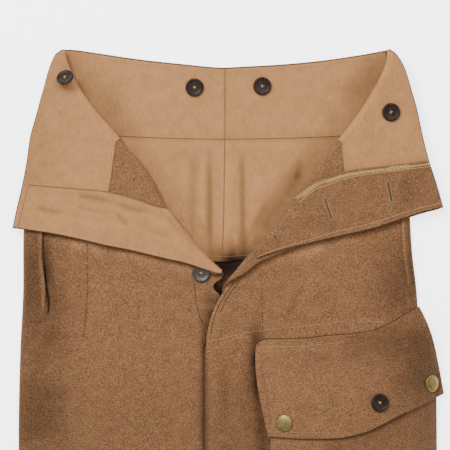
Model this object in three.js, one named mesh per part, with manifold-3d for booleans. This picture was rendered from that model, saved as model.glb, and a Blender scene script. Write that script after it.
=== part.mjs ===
// Wool battledress trousers lying on their back, waist towards +Y and legs towards -Y. The fly is undone and
// each front is turned back over itself along a slanting fold, so that its waist lining and fly facing show.
// Millimetres. While the pieces are made, x = 0 is the centre back seam, y = 0 is the waist at the side
// seams and z = 0 is the surface the cloth lies on. "Right" and "left" are the wearer's.
import * as THREE from "three";
import { mergeVertices } from "three/addons/utils/BufferGeometryUtils.js";
import Module from "manifold-3d";

const wasm = await Module();
wasm.setup();

// ---------- driving sizes ----------
const length = 1065; // waist to hem, down the side seam
const crotch = 330; // waist to where the legs part
const wool = 2.4; // wall of the wool serge
const drill = 1.2; // wall of the cotton drill
const seam = 0.3; // gap left between neighbouring pieces
const liningDeep = 90; // waist lining, waist edge to lower edge
const seatLiningEnd = 232; // lower edge of the seat lining, down from the waist
const edgeInset = 2; // linings stop this far inside the wool of the back
const leafInset = 1.8; // and this far inside the wool of the fronts
const sideRound = 8; // how far in from a side fold the front rises
const backCorner = { inset: 7, over: 12 }; // the back's waist corners are cut in under the fronts' folds
const foldRadius = 3.4; // mid-wall radius of the turned-back fold
const cornerRoll = 1.8; // the fold is this much rounder at the waist corner
const cornerReach = 25; // and loses that within about this length
const leafGap = 5.4; // turned-back leaf above the front, mid-wall to mid-wall, once it has settled
const settle = 35; // length over which it settles

// The height of the front's mid-wall: on the back's edge, and over the back and its linings.
const frontAtSeam = wool + seam + wool / 2;
const frontOverBack = 6.6;

// The waist edge: how far above or below y = 0 it runs across the back.
const waistTop = [
  { x: -180, y: 2.1 },
  { x: -167, y: 1.9 },
  { x: -159.5, y: 1 },
  { x: -137.5, y: -2.4 },
  { x: -93.5, y: -8.8 },
  { x: -49.5, y: -13.6 },
  { x: -5.5, y: -17.7 },
  { x: 16.5, y: -16.8 },
  { x: 60.5, y: -14.4 },
  { x: 104.5, y: -10.3 },
  { x: 148.5, y: -4 },
  { x: 170.5, y: 0 },
  { x: 180.5, y: 2 },
];

// The centre back seam, then the legs' side edges and inner edges. down: below the waist.
const centreSeam = [
  { down: 0, x: 0 },
  { down: 120, x: -0.5 },
  { down: 232, x: -3.5 },
  { down: 290, x: -12 },
  { down: crotch, x: -23 },
];
const legs = {
  right: {
    outer: [
      { down: 0, x: -185.5 },
      { down: 26, x: -193.5 },
      { down: 50, x: -200 },
      { down: 100, x: -209.5 },
      { down: 150, x: -216.5 },
      { down: 199, x: -221 },
      { down: 266, x: -221.5 },
      { down: 340, x: -225 },
      { down: 436, x: -226.5 },
      { down: 700, x: -224 },
      { down: length, x: -218 },
    ],
    inner: [
      { down: crotch, x: -24 },
      { down: 436, x: -24 },
      { down: 700, x: -27 },
      { down: length, x: -28 },
    ],
  },
  left: {
    outer: [
      { down: 0, x: 184.5 },
      { down: 26, x: 194 },
      { down: 50, x: 197.5 },
      { down: 100, x: 200.5 },
      { down: 150, x: 201.5 },
      { down: 219, x: 205 },
      { down: 263, x: 210 },
      { down: 300, x: 212 },
      { down: 340, x: 212 },
      { down: 436, x: 214 },
      { down: 700, x: 207 },
      { down: length, x: 194 },
    ],
    inner: [
      { down: crotch, x: -20.9 },
      { down: 436, x: -20.9 },
      { down: 700, x: -14 },
      { down: length, x: -4 },
    ],
  },
};

// Each front: where its fold starts and ends, how far the fold runs outside the straight line between them
// (out), how far the turned-back cloth reaches past the fold (waistEdge from the side seam to the corner,
// flyEdge from there to the fold's end), and the fly edge below the fold.
const fronts = {
  right: {
    leg: legs.right,
    flapSide: -1,
    start: { x: -183.7, y: -2.2 },
    end: { x: -4.4, y: -250.8 },
    fold: [
      { along: 0, out: 0.2 },
      { along: 14, out: 4.2 },
      { along: 37, out: 8.8 },
      { along: 68, out: 9.2 },
      { along: 109, out: 5.8 },
      { along: 133, out: 3.2 },
      { along: 156, out: 0.8 },
      { along: 180, out: 2.8 },
      { along: 206, out: 6.8 },
      { along: 243, out: 7.4 },
      { along: 281, out: 3.7 },
      { along: 306.5, out: 0.5 },
    ],
    waistEdge: [
      { along: 0, past: 2.5 },
      { along: 1.5, past: 5.5 },
      { along: 4.5, past: 10.1 },
      { along: 11, past: 17.9 },
      { along: 22.5, past: 29.4 },
      { along: 39.6, past: 48 },
      { along: 56.7, past: 68.9 },
      { along: 75.9, past: 88.2 },
      { along: 94.4, past: 109.2 },
      { along: 112.2, past: 131.4 },
      { along: 127, past: 149.5 },
    ],
    flyEdge: [
      { along: 127, past: 149.5 },
      { along: 134.3, past: 142.6 },
      { along: 156.3, past: 122.8 },
      { along: 198.3, past: 80.2 },
      { along: 220.8, past: 57 },
      { along: 265, past: 20.1 },
      { along: 285, past: 6.5 },
    ],
    flyBelow: [
      { down: 250.8, inner: -4.4 },
      { down: 255, inner: -10 },
      { down: 260, inner: -12 },
      { down: 265, inner: -9 },
      { down: 270, inner: -1 },
      { down: 278, inner: -2 },
      { down: 288, inner: -7 },
      { down: 300, inner: -12 },
      { down: 315, inner: -19.4 },
      { down: crotch, inner: -24 },
    ],
    overlapLift: -1.2, // the underlap lies lower near the fly
    legFrom: 292, // the inner leg seam starts to round down here
  },
  left: {
    leg: legs.left,
    flapSide: 1,
    start: { x: 183.9, y: -0.3 },
    end: { x: -1.1, y: -267.3 },
    fold: [
      { along: 0, out: 0.8 },
      { along: 7, out: 5.2 },
      { along: 15, out: 8.6 },
      { along: 28, out: 11.4 },
      { along: 41, out: 12.8 },
      { along: 75, out: 14.4 },
      { along: 108, out: 12.7 },
      { along: 131, out: 9.6 },
      { along: 162, out: 9.2 },
      { along: 192, out: 9.3 },
      { along: 226, out: 10.7 },
      { along: 265, out: 9.4 },
      { along: 294, out: 4.7 },
      { along: 324.8, out: 0 },
    ],
    waistEdge: [
      { along: 0, past: 3 },
      { along: 1.4, past: 6.9 },
      { along: 4.1, past: 12.2 },
      { along: 10.4, past: 18.8 },
      { along: 21.9, past: 30.1 },
      { along: 39.3, past: 48.9 },
      { along: 57.8, past: 67.3 },
      { along: 75.6, past: 87.4 },
      { along: 92.4, past: 110 },
      { along: 109, past: 131.5 },
    ],
    flyEdge: [
      { along: 109, past: 131.5 },
      { along: 116.1, past: 127.3 },
      { along: 143.6, past: 107.5 },
      { along: 171.5, past: 86.6 },
      { along: 200.6, past: 59.5 },
      { along: 223.6, past: 37 },
      { along: 243.7, past: 22 },
      { along: 270.3, past: 6 },
      { along: 292.3, past: 2 },
    ],
    flyBelow: [
      { down: 267.3, inner: -1.1 },
      { down: 280, inner: -9.4 },
      { down: 296, inner: -16 },
      { down: 313.5, inner: -20 },
      { down: crotch, inner: -20.9 },
    ],
    overlapLift: 2.5, // and the overlap higher
    legFrom: 324,
  },
};

// Fly facings on the turned-back leaves, as pairs of points from the waist end to the tip: along the fold
// and past it, at the facing's inner edge and at its fly edge.
const facings = {
  right: {
    wall: drill,
    rows: [
      { inAlong: 96, inPast: 108, outAlong: 127, outPast: 147.5 },
      { inAlong: 122, inPast: 80.5, outAlong: 155, outPast: 122 },
      { inAlong: 154, inPast: 47, outAlong: 183, outPast: 94 },
      { inAlong: 174, inPast: 28.5, outAlong: 203, outPast: 73.5 },
      { inAlong: 195, inPast: 10, outAlong: 220, outPast: 56.5 },
      { inAlong: 211, inPast: -3.5, outAlong: 236, outPast: 42.5 },
      { inAlong: 232, inPast: -6.5, outAlong: 252, outPast: 29.5 },
      { inAlong: 256, inPast: -6.5, outAlong: 269, outPast: 16 },
      { inAlong: 280, inPast: -6.5, outAlong: 284, outPast: 5.5 },
      { inAlong: 296, inPast: -6.5, outAlong: 297.5, outPast: -3.5 },
    ],
  },
  left: {
    wall: wool,
    rows: [
      { inAlong: 77, inPast: 86, outAlong: 109, outPast: 129.5 },
      { inAlong: 108, inPast: 53, outAlong: 138, outPast: 109 },
      { inAlong: 139, inPast: 22.5, outAlong: 165, outPast: 89.5 },
      { inAlong: 155, inPast: 10.5, outAlong: 182, outPast: 75 },
      { inAlong: 170, inPast: 0.5, outAlong: 198, outPast: 60 },
      { inAlong: 192, inPast: -4.5, outAlong: 216, outPast: 42.5 },
      { inAlong: 216, inPast: -5, outAlong: 236, outPast: 25.5 },
      { inAlong: 242, inPast: -5, outAlong: 256, outPast: 12 },
      { inAlong: 264, inPast: -5, outAlong: 272, outPast: 3.5 },
    ],
  },
};

// Waist linings on the leaves. reach: how far past the fold they run, at the waist edge and at the lower
// edge (both just under the facing); deep: the lower edge along the fold; slope: how much further down it
// gets for each millimetre past the fold.
const leafLinings = {
  right: { reachAtWaist: 112, reachAtLower: 50, deep: 117, slope: 0.92 },
  left: { reachAtWaist: 92, reachAtLower: 29, deep: 115, slope: 1.05 },
};

// Soft upright folds of the seat lining: where they meet its lower edge, how high and how wide.
const seatFolds = [
  { at: -45, lift: 1.6, half: 9 },
  { at: -22, lift: 2.8, half: 5.5 },
  { at: 4, lift: 3, half: 9 },
  { at: 38, lift: 2.6, half: 10 },
];

// Map pocket on the left thigh. Its flap: top edge, lower edge and the two side edges.
const pocket = {
  flapTop: [
    { x: 35, down: 322 },
    { x: 42, down: 318 },
    { x: 82, down: 317 },
    { x: 115, down: 313.5 },
    { x: 140, down: 311.5 },
    { x: 162, down: 308 },
    { x: 176, down: 303 },
    { x: 192, down: 294 },
    { x: 213, down: 281 },
  ],
  flapFoot: [
    { x: 47, down: 423 },
    { x: 82, down: 424.5 },
    { x: 126, down: 423.5 },
    { x: 154, down: 417 },
    { x: 176, down: 407 },
    { x: 192, down: 399 },
    { x: 214, down: 390 },
    { x: 241, down: 377 },
  ],
  flapEase: 1.1, // air between the flap and the bag
  flapBow: 5, // the side edges bow outwards by this at a third of the way down
  mouth: 24, // bag's top edge below the flap's top edge
  bagLeft: 50,
  rightEdge: [
    { down: 300, x: 212 },
    { down: 334, x: 225 },
    { down: 375, x: 232.5 },
    { down: 576, x: 233 },
  ],
  gussetLow: 4.5, // height of the folded gusset at the bag's lower seam
  bagFoot: 576, // the bag's lower seam, down from the waist
  footRound: 16,
  mouthRise: 70, // the bag reaches its full height this far below the flap's top edge
  // Height of the bag's mid-wall across the thigh, over the surface the garment lies on.
  crown: [
    { x: 50, z: 21 },
    { x: 62, z: 25 },
    { x: 85, z: 30 },
    { x: 125, z: 33 },
    { x: 160, z: 31 },
    { x: 185, z: 26.5 },
    { x: 205, z: 20.5 },
    { x: 220, z: 13.5 },
    { x: 228, z: 8 },
    { x: 233, z: 3.6 },
  ],
};

// Side pocket edges: the folded strip behind each side pocket mouth.
const pocketEdges = {
  right: [
    { down: 190, outer: 3, inner: 18.5 },
    { down: 240, outer: 3, inner: 20.5 },
    { down: 275, outer: 3, inner: 23.5 },
    { down: 298, outer: 3, inner: 24.5 },
  ],
  left: [
    { down: 180, outer: 3, inner: 9 },
    { down: 225, outer: 3, inner: 9 },
    { down: 268, outer: 3, inner: 8 },
  ],
};
const pocketEdgeWall = 1.6;

// The slit of the right side pocket mouth, just inside its edge strip: half its width down its length.
const mouthSlit = [
  { down: 203, x: -199.8, half: 2.6 },
  { down: 232, x: -198, half: 2.4 },
  { down: 257, x: -196.8, half: 2.1 },
  { down: 275, x: -194.4, half: 2.1 },
  { down: 293, x: -195, half: 0.8 },
];

// Buttons: a dished disc with four holes. Snaps: a low brass cap.
const button = { radius: 10, thick: 3.2, rim: 2.2, dish: 1.1, holeRadius: 1.0, holeFromCentre: 2.2 };
const snap = { radius: 9.3, thick: 2.6 };

// ---------- helpers ----------
const clamp = (t, low, high) => Math.min(Math.max(t, low), high);
const mix = (a, b, t) => a + (b - a) * t;
const smooth = (t) => ((t = clamp(t, 0, 1)), t * t * (3 - 2 * t));
const quarterRound = (t) => Math.sqrt(1 - (1 - clamp(t, 0, 1)) ** 2);
const hump = (t) => Math.exp(-t * t);

// Reads a table: column "to" where column "from" is "at", on a smooth curve through the rows.
function read(rows, from, to, at) {
  let i = 0;
  while (i < rows.length - 2 && at > rows[i + 1][from]) i++;
  const a = rows[i];
  const b = rows[i + 1];
  const slopeAt = (j) => {
    const p = rows[Math.max(j - 1, 0)];
    const q = rows[Math.min(j + 1, rows.length - 1)];
    return (q[to] - p[to]) / (q[from] - p[from]);
  };
  const step = b[from] - a[from];
  const t = clamp((at - a[from]) / step, 0, 1);
  return (
    a[to] * (1 + 2 * t) * (1 - t) ** 2 +
    step * slopeAt(i) * t * (1 - t) ** 2 +
    b[to] * t * t * (3 - 2 * t) -
    step * slopeAt(i + 1) * t * t * (1 - t)
  );
}

// A closed wall of cloth from rows of points on its two faces. Points that fall together are merged.
function clothWall(rows) {
  const faces = rows.map((row) => row.map((pair) => [pair.under, pair.over]));
  const positions = [];
  const keys = new Map();
  const indexOf = (p) => {
    const key = p.toArray().map((v) => Math.round(v * 1e4)).join();
    if (!keys.has(key)) keys.set(key, positions.push(p) - 1);
    return keys.get(key);
  };
  const triangles = [];
  const quad = (a, b, c, d) => {
    for (const tri of [[a, b, c], [a, c, d]]) {
      const [i, j, k] = tri.map(indexOf);
      if (i !== j && j !== k && k !== i) triangles.push(i, j, k);
    }
  };
  const lastRow = faces.length - 1;
  const lastCol = faces[0].length - 1;
  for (let r = 0; r < lastRow; r++) {
    for (let c = 0; c < lastCol; c++) {
      const [a, b, d, e] = [faces[r][c], faces[r][c + 1], faces[r + 1][c + 1], faces[r + 1][c]];
      quad(a[1], e[1], d[1], b[1]);
      quad(a[0], b[0], d[0], e[0]);
    }
    const near = [faces[r][0], faces[r + 1][0]];
    const far = [faces[r][lastCol], faces[r + 1][lastCol]];
    quad(near[0][0], near[1][0], near[1][1], near[0][1]);
    quad(far[0][0], far[0][1], far[1][1], far[1][0]);
  }
  for (let c = 0; c < lastCol; c++) {
    const top = [faces[0][c], faces[0][c + 1]];
    const foot = [faces[lastRow][c], faces[lastRow][c + 1]];
    quad(top[0][0], top[0][1], top[1][1], top[1][0]);
    quad(foot[0][0], foot[1][0], foot[1][1], foot[0][1]);
  }
  const geometry = new THREE.BufferGeometry();
  geometry.setAttribute("position", new THREE.Float32BufferAttribute(positions.flatMap((p) => p.toArray()), 3));
  geometry.setIndex(signedVolume(positions, triangles) < 0 ? triangles.reverse() : triangles);
  geometry.computeVertexNormals();
  return geometry;
}

function signedVolume(positions, triangles) {
  let six = 0;
  for (let i = 0; i < triangles.length; i += 3) {
    const [a, b, c] = [0, 1, 2].map((k) => positions[triangles[i + k]]);
    six += a.dot(new THREE.Vector3().crossVectors(b, c));
  }
  return six / 6;
}

function asSolid(geometry) {
  const bare = geometry.clone().deleteAttribute("normal").deleteAttribute("uv");
  const merged = mergeVertices(bare, 1e-4);
  return new wasm.Manifold(
    new wasm.Mesh({
      numProp: 3,
      vertProperties: new Float32Array(merged.attributes.position.array),
      triVerts: new Uint32Array(merged.index.array),
    }),
  );
}

function asGeometry(solid) {
  const mesh = solid.getMesh();
  const geometry = new THREE.BufferGeometry();
  geometry.setAttribute("position", new THREE.BufferAttribute(mesh.vertProperties, 3));
  geometry.setIndex(new THREE.BufferAttribute(mesh.triVerts, 1));
  geometry.computeVertexNormals();
  return geometry;
}

// Evenly spaced shares from 0 to 1, and the distances of columns across a width, closer at rounded edges.
const shares = (count) => Array.from({ length: count + 1 }, (_, i) => i / count);
function columnsAcross(width, middle, roundBoth) {
  const edge = [0, 1.2, 3.6, 8].map((d) => d * Math.min(1, width / 40));
  const near = edge[edge.length - 1];
  const far = roundBoth ? width - near : width;
  const inside = shares(middle).map((t) => mix(near, far, t));
  const last = roundBoth ? edge.slice(0, -1).reverse().map((d) => width - d) : [];
  return [...edge.slice(0, -1), ...inside, ...last];
}

const point = (x, y, z) => new THREE.Vector3(x, y, z);

// The two faces of a wall about a height function, moved out square to it.
function faceted(heightAt, x, y, low, high) {
  const e = 0.4;
  const z = heightAt(x, y);
  const normal = point(
    (heightAt(x - e, y) - heightAt(x + e, y)) / (2 * e),
    (heightAt(x, y - e) - heightAt(x, y + e)) / (2 * e),
    1,
  ).normalize();
  return {
    under: point(x, y, z).addScaledVector(normal, low),
    over: point(x, y, z).addScaledVector(normal, high),
  };
}

const outerEdge = (leg, down) => read(leg.outer, "down", "x", down);
const innerEdge = (leg, down) => read(leg.inner, "down", "x", down);
const seamX = (down) => read(centreSeam, "down", "x", down);

// ---------- the fronts' shape ----------
const waistY = (x) => read(waistTop, "x", "y", x);

function foldPoint(front, along) {
  const run = point(front.end.x - front.start.x, front.end.y - front.start.y, 0);
  const total = run.length();
  run.divideScalar(total);
  const out = point(run.y, -run.x, 0).multiplyScalar(-front.flapSide);
  const at = point(front.start.x, front.start.y, 0)
    .addScaledVector(run, along)
    .addScaledVector(out, read(front.fold, "along", "out", along));
  return { at, out, total };
}

const foldInset = 2.5; // the fold starts at the front's height this far inside it
const rollRadius = (along) => foldRadius + cornerRoll * Math.exp(-along / cornerReach);
const foldArc = (along) => Math.PI * rollRadius(along);

// How far a point lies from the fold's chord, on the body side.
function fromFold(front, x, y) {
  const { out } = foldPoint(front, 0);
  return Math.abs((x - front.start.x) * out.x + (y - front.start.y) * out.y);
}

// The front's height before its side edges turn down.
function frontCrown(front, x, y) {
  const alongFold = hump(fromFold(front, x, y) / 32) * smooth((y + 290) / 30);
  const nearFly = hump((x + 10) / 34) * hump((y + 290) / 52);
  return frontOverBack + 1.6 * alongFold + front.overlapLift * nearFly;
}

function frontHeight(front, x, y) {
  const outside = outerEdge(front.leg, -y);
  const inside = innerEdge(front.leg, -y);
  const legShare = smooth((-y - front.legFrom) / 24);
  const rise =
    quarterRound(Math.abs(outside - x) / sideRound) *
    mix(1, quarterRound((front.flapSide < 0 ? inside - x : x - inside) / sideRound), legShare);
  return mix(frontAtSeam, frontCrown(front, x, y), rise);
}

// A point of the turned-back leaf: along the fold, "cut" past it measured in the flat cloth, and "off" from
// the mid-wall towards the garment's inside.
function onLeaf(front, along, cut, off) {
  const { at, out } = foldPoint(front, along);
  const radius = rollRadius(along);
  const low = frontHeight(front, at.x - front.flapSide * foldInset, at.y);
  const turn = cut / radius;
  if (turn <= Math.PI) {
    const reach = radius + off;
    const p = at.clone().addScaledVector(out, -reach * Math.sin(turn));
    return p.setZ(low + radius - reach * Math.cos(turn));
  }
  const past = cut - Math.PI * radius;
  const p = at.clone().addScaledVector(out, past);
  const outside = outerEdge(front.leg, -p.y);
  const overhang = Math.max(0, (p.x - outside) * front.flapSide);
  const resting = frontCrown(front, p.x, p.y) + leafGap - (0.12 * overhang ** 2) / (overhang + 25);
  return p.setZ(mix(resting, low + 2 * radius, Math.exp(-past / settle)) + off);
}

// How far the turned-back cloth reaches, in the flat cloth, at a place along the fold.
function leafReach(front, along) {
  const { total } = foldPoint(front, 0);
  const lastRow = front.flyEdge[front.flyEdge.length - 1];
  const corner = front.flyEdge[0].along;
  if (along > lastRow.along) {
    const left = (total - along) / (total - lastRow.along);
    return (lastRow.past + foldArc(along)) * clamp(left, 0, 1) ** 0.8;
  }
  const edge = along < corner ? front.waistEdge : front.flyEdge;
  return foldArc(along) + read(edge, "along", "past", along);
}

function frontPanel(front, sizes) {
  const { total } = foldPoint(front, 0);
  const corner = front.flyEdge[0].along;
  const stops = [
    ...shares(sizes.waistRows).map((t) => corner * t ** 1.7),
    ...shares(sizes.flyRows).slice(1).map((t) => mix(corner, total, t)),
  ];
  const bend = shares(5).map((t) => ({ arc: t, rest: 0 }));
  const flat = shares(sizes.leafColumns).slice(1).map((t) => ({ arc: 1, rest: t }));
  const half = wool / 2;
  const heightAt = (x, y) => frontHeight(front, x, y);
  const rows = [];
  for (const along of stops) {
    const { at } = foldPoint(front, along);
    const outside = outerEdge(front.leg, -at.y);
    const wide = Math.abs(at.x - outside);
    const row = columnsAcross(wide, sizes.middle, true).map((d) =>
      faceted(heightAt, outside - front.flapSide * d, at.y, -half, half),
    );
    const reach = leafReach(front, along);
    const arc = Math.min(foldArc(along), reach);
    row.pop();
    for (const { arc: bent, rest } of [...bend, ...flat]) {
      const cut = rest ? arc + Math.max(reach - arc, 0) * rest : arc * bent;
      row.push({ under: onLeaf(front, along, cut, half), over: onLeaf(front, along, cut, -half) });
    }
    rows.push(row);
  }
  const below = shares(sizes.overlapRows)
    .slice(1)
    .map((t) => mix(-front.end.y, crotch, t));
  const down = [...below, ...shares(sizes.legRows).slice(1).map((t) => mix(crotch, length, t))];
  for (const d of down) {
    const outside = outerEdge(front.leg, d);
    const inside = d < crotch ? read(front.flyBelow, "down", "inner", d) : innerEdge(front.leg, d);
    const row = columnsAcross(Math.abs(inside - outside), sizes.middle, true).map((c) =>
      faceted(heightAt, outside - front.flapSide * c, -d, -half, half),
    );
    const last = row[row.length - 1];
    while (row.length < rows[0].length) row.push(last);
    rows.push(row);
  }
  return clothWall(rows);
}

function mouthCutter(rows) {
  const outline = [
    ...rows.map((r) => new THREE.Vector2(r.x - r.half, -r.down)),
    ...[...rows].reverse().map((r) => new THREE.Vector2(r.x + r.half, -r.down)),
  ];
  return new THREE.ExtrudeGeometry(new THREE.Shape(outline), { depth: 30, bevelEnabled: false });
}

// ---------- flat pieces ----------
function backPanel(leg, side) {
  const rows = [];
  const row = (down, inside) => {
    const cutIn = backCorner.inset * (1 - clamp(down / backCorner.over, 0, 1)) ** 3;
    const outside = outerEdge(leg, down) + side * (wool / 2 - cutIn);
    const points = shares(6).map((u) => {
      const x = mix(outside, inside, u);
      const y = -down + waistY(x) * (1 - smooth(down / 150));
      return { under: point(x, y, 0), over: point(x, y, wool) };
    });
    rows.push(points);
  };
  const waistDown = [0, backCorner.over * 0.3, backCorner.over];
  const bodyDown = shares(8).slice(1).map((t) => crotch * t);
  for (const down of [...waistDown, ...bodyDown]) row(down, seamX(down) + (side * seam) / 2);
  for (const t of shares(10)) {
    const down = mix(crotch, length, 0.004 + 0.996 * t);
    row(down, innerEdge(leg, down) - (side * wool) / 2);
  }
  return clothWall(rows);
}

const onBack = wool + seam; // the linings lie on the back's inner face

function backWaistLining(leg, side) {
  const rows = shares(4).map((t) => {
    const down = mix(edgeInset, liningDeep, t);
    const outside = outerEdge(leg, down) - side * 9;
    return shares(8).map((u) => {
      const x = mix(outside, (side * seam) / 2, u);
      const lower = 5 * (1 - (x / 185) ** 2) * t;
      const y = -down + waistY(x) * mix(1, 0.1, t) - lower;
      return { under: point(x, y, onBack), over: point(x, y, onBack + drill) };
    });
  });
  return clothWall(rows);
}

// The seat lining's rise over the back, inside the opening between the two folds.
function seatRise(x, y) {
  const down = -y;
  const toward = smooth((down - 110) / 110);
  const openLeft = foldEdgeX(fronts.right, y) + 14;
  const openRight = foldEdgeX(fronts.left, y) - 14;
  const inside = smooth((x - openLeft) / 14) * smooth((openRight - x) / 14);
  const centreX = seamX(down);
  return inside * toward * seatFolds.reduce((sum, f) => sum + f.lift * hump((x - centreX - f.at) / f.half), 0);
}

function foldEdgeX(front, y) {
  const t = (y - front.start.y) / (front.end.y - front.start.y);
  return mix(front.start.x, front.end.x, t);
}

function seatLining(side) {
  const columns = shares(14);
  const rows = shares(9).map((t) =>
    columns.map((u) => {
      const wide = mix(152, 112, t);
      const x0 = wide * side * (1 - u) ** 1.25;
      const topY = -liningDeep + waistY(x0) * 0.1 - 5 * (1 - (x0 / 185) ** 2) - seam;
      const y = mix(topY, -seatLiningEnd + 14 * (1 - u) ** 2, t);
      const centreX = seamX(-y) * u;
      const x = x0 + centreX + ((side * seam) / 2) * u;
      const z = onBack + seatRise(x, y);
      return { under: point(x, y, z), over: point(x, y, z + drill) };
    }),
  );
  return clothWall(rows);
}

// ---------- pieces on the turned-back leaves ----------
const onWool = wool / 2 + seam;
const liningStart = 0.12; // a lining starts this share of the way round the fold

function leafLining(front, sizes) {
  const rows = shares(15).map((t) => {
    const c = t ** 1.5;
    const reach = mix(sizes.reachAtWaist, sizes.reachAtLower, c);
    const bend = shares(5).map((u) => ({ arc: mix(liningStart, 1, u), past: 0 }));
    const flat = shares(7).slice(1).map((u) => ({ arc: 1, past: reach * u }));
    return [...bend, ...flat].map(({ arc, past }) => {
      const first = front.waistEdge[0];
      const top = past <= first.past ? 0 : read(front.waistEdge, "past", "along", past);
      const along = mix(top + leafInset, sizes.deep + sizes.slope * past, c);
      const cut = foldArc(along) * arc + past;
      return {
        under: onLeaf(front, along, cut, onWool),
        over: onLeaf(front, along, cut, onWool + drill),
      };
    });
  });
  return clothWall(rows);
}

// Near the waist a facing lies on the lining, and further down straight on the wool.
const facingEase = 0.45; // a facing lies this much freer than a lining
const facingHeight = (share) =>
  onWool + facingEase + (drill + seam) * (1 - smooth((share - 0.36) / 0.16));

function flyFacing(front, facing) {
  const numbered = facing.rows.map((row, i) => ({ ...row, share: i / (facing.rows.length - 1) }));
  const rows = shares(26).map((share) => {
    const at = (column) => read(numbered, "share", column, share);
    const under = facingHeight(share);
    const wide = at("outPast") - at("inPast");
    const steps = [0, 1.9, 3.8, 5.7, 7.6].map((d) => Math.min(d / wide, d * 0.05));
    return [...steps, 0.6, 0.8, 1].map((u) => {
      const along = mix(at("inAlong"), at("outAlong"), u);
      const past = mix(at("inPast"), at("outPast"), u);
      const cut = foldArc(along) + past;
      return {
        under: onLeaf(front, along, cut, under),
        over: onLeaf(front, along, cut, under + facing.wall),
      };
    });
  });
  return clothWall(rows);
}

// ---------- pieces on the fronts ----------
function pocketEdge(front, table) {
  const heightAt = (x, y) => frontHeight(front, x, y);
  const first = table[0].down;
  const last = table[table.length - 1].down;
  const rows = shares(6).map((t) => {
    const down = mix(first, last, t);
    const outside = outerEdge(front.leg, down);
    const from = read(table, "down", "outer", down);
    const to = read(table, "down", "inner", down);
    return shares(5).map((u) => {
      const x = outside - front.flapSide * mix(from, to, u);
      return faceted(heightAt, x, -down, onWool, onWool + pocketEdgeWall);
    });
  });
  return clothWall(rows);
}

const flapTopDown = (x) => read(pocket.flapTop, "x", "down", x);

// Mid-wall height of the pocket bag: low under the flap's top edge, full further down, falling to its foot.
function bagHeight(x, y) {
  const base = frontHeight(fronts.left, clamp(x, 0, 200), y) + onWool + wool / 2;
  const crown = read(pocket.crown, "x", "z", x);
  const fromTop = -y - flapTopDown(clamp(x, 35, 213));
  const toFoot = pocket.bagFoot + y;
  const low = Math.min(base + pocket.gussetLow * (1 - smooth((x - pocket.bagLeft) / 25)), crown);
  return mix(low, crown, smooth(fromTop / pocket.mouthRise) * quarterRound(toFoot / pocket.footRound));
}

function pocketBag() {
  const gussetFoot = pocket.bagLeft + 3;
  const stops = [0, 0.035, 0.07, 0.105, 0.14, 0.175, 0.23, 0.3, 0.45, 0.6, 0.75, 0.87, 0.94, 0.97, 0.985, 1];
  const rows = stops.map((t) => {
    const rightDown = mix(flapTopDown(213) + pocket.mouth, pocket.bagFoot, t);
    const right = read(pocket.rightEdge, "down", "x", rightDown);
    const row = shares(14).map((u) => {
      const x = mix(pocket.bagLeft, right, u);
      const top = flapTopDown(clamp(x, 35, 213)) + pocket.mouth;
      const y = -mix(top, pocket.bagFoot, t);
      return faceted(bagHeight, x, y, -wool / 2, wool / 2);
    });
    // The left gusset stands on the front and meets the bag's face.
    const y = -mix(flapTopDown(pocket.bagLeft) + pocket.mouth, pocket.bagFoot, t);
    const base = frontHeight(fronts.left, gussetFoot, y) + onWool;
    const face = bagHeight(pocket.bagLeft, y);
    const middle = mix(base, face - wool / 2, 0.5);
    row[0] = { under: point(pocket.bagLeft + wool, y, face - wool / 2), over: point(pocket.bagLeft, y, face + wool / 2) };
    row.unshift({ under: point(pocket.bagLeft + wool - 1.2, y, middle), over: point(pocket.bagLeft - 1.2, y, middle) });
    row.unshift({ under: point(gussetFoot + wool, y, base), over: point(gussetFoot, y, base) });
    return row;
  });
  return clothWall(rows);
}

function flapPlan(u, v) {
  const topX = mix(35, 213, u);
  const footX = mix(47, 241, u);
  const bowed = pocket.flapBow * Math.sin(Math.PI * v ** 0.7) * (2 * u - 1) ** 3;
  const topDown = flapTopDown(topX);
  const footDown = read(pocket.flapFoot, "x", "down", footX);
  return { x: mix(topX, footX, v) + bowed, down: mix(topDown, footDown, v) };
}

const flapHeight = (x, y) => {
  const fromTop = -y - flapTopDown(clamp(x, 35, 213));
  const onFront = frontHeight(fronts.left, clamp(x, 0, 196), y) + onWool + wool / 2;
  const onBag = bagHeight(Math.max(x, pocket.bagLeft), y) + wool + seam + pocket.flapEase;
  const sewn = onFront - 0.8 * Math.max(0, x - 211);
  return mix(Math.max(sewn, 4), Math.max(onBag, 4), smooth((fromTop - 2) / 20));
};

function pocketFlap() {
  const rows = shares(11).map((v) =>
    [...shares(15).slice(0, -1), 0.97, 1].map((u) => {
      const { x, down } = flapPlan(u, v);
      return faceted(flapHeight, x, -down, -wool / 2, wool / 2);
    }),
  );
  return clothWall(rows);
}

// ---------- trims ----------
function buttonGeometry() {
  const { radius, thick, rim, dish } = button;
  const profile = [
    [0, 0],
    [radius * 0.72, 0],
    [radius, thick * 0.45],
    [radius * 0.96, thick * 0.9],
    [radius - rim * 0.5, thick],
    [radius - rim, thick - dish * 0.4],
    [0, thick - dish],
  ].map(([r, z]) => new THREE.Vector2(r, z));
  const disc = new THREE.LatheGeometry(profile, 20).rotateX(Math.PI / 2);
  let solid = asSolid(disc);
  for (const i of [0, 1, 2, 3]) {
    const a = ((i + 0.5) * Math.PI) / 2;
    const hole = new THREE.CylinderGeometry(button.holeRadius, button.holeRadius, 4 * thick, 6).rotateX(Math.PI / 2);
    hole.translate(button.holeFromCentre * Math.cos(a), button.holeFromCentre * Math.sin(a), 0);
    solid = solid.subtract(asSolid(hole));
  }
  return asGeometry(solid);
}

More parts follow.
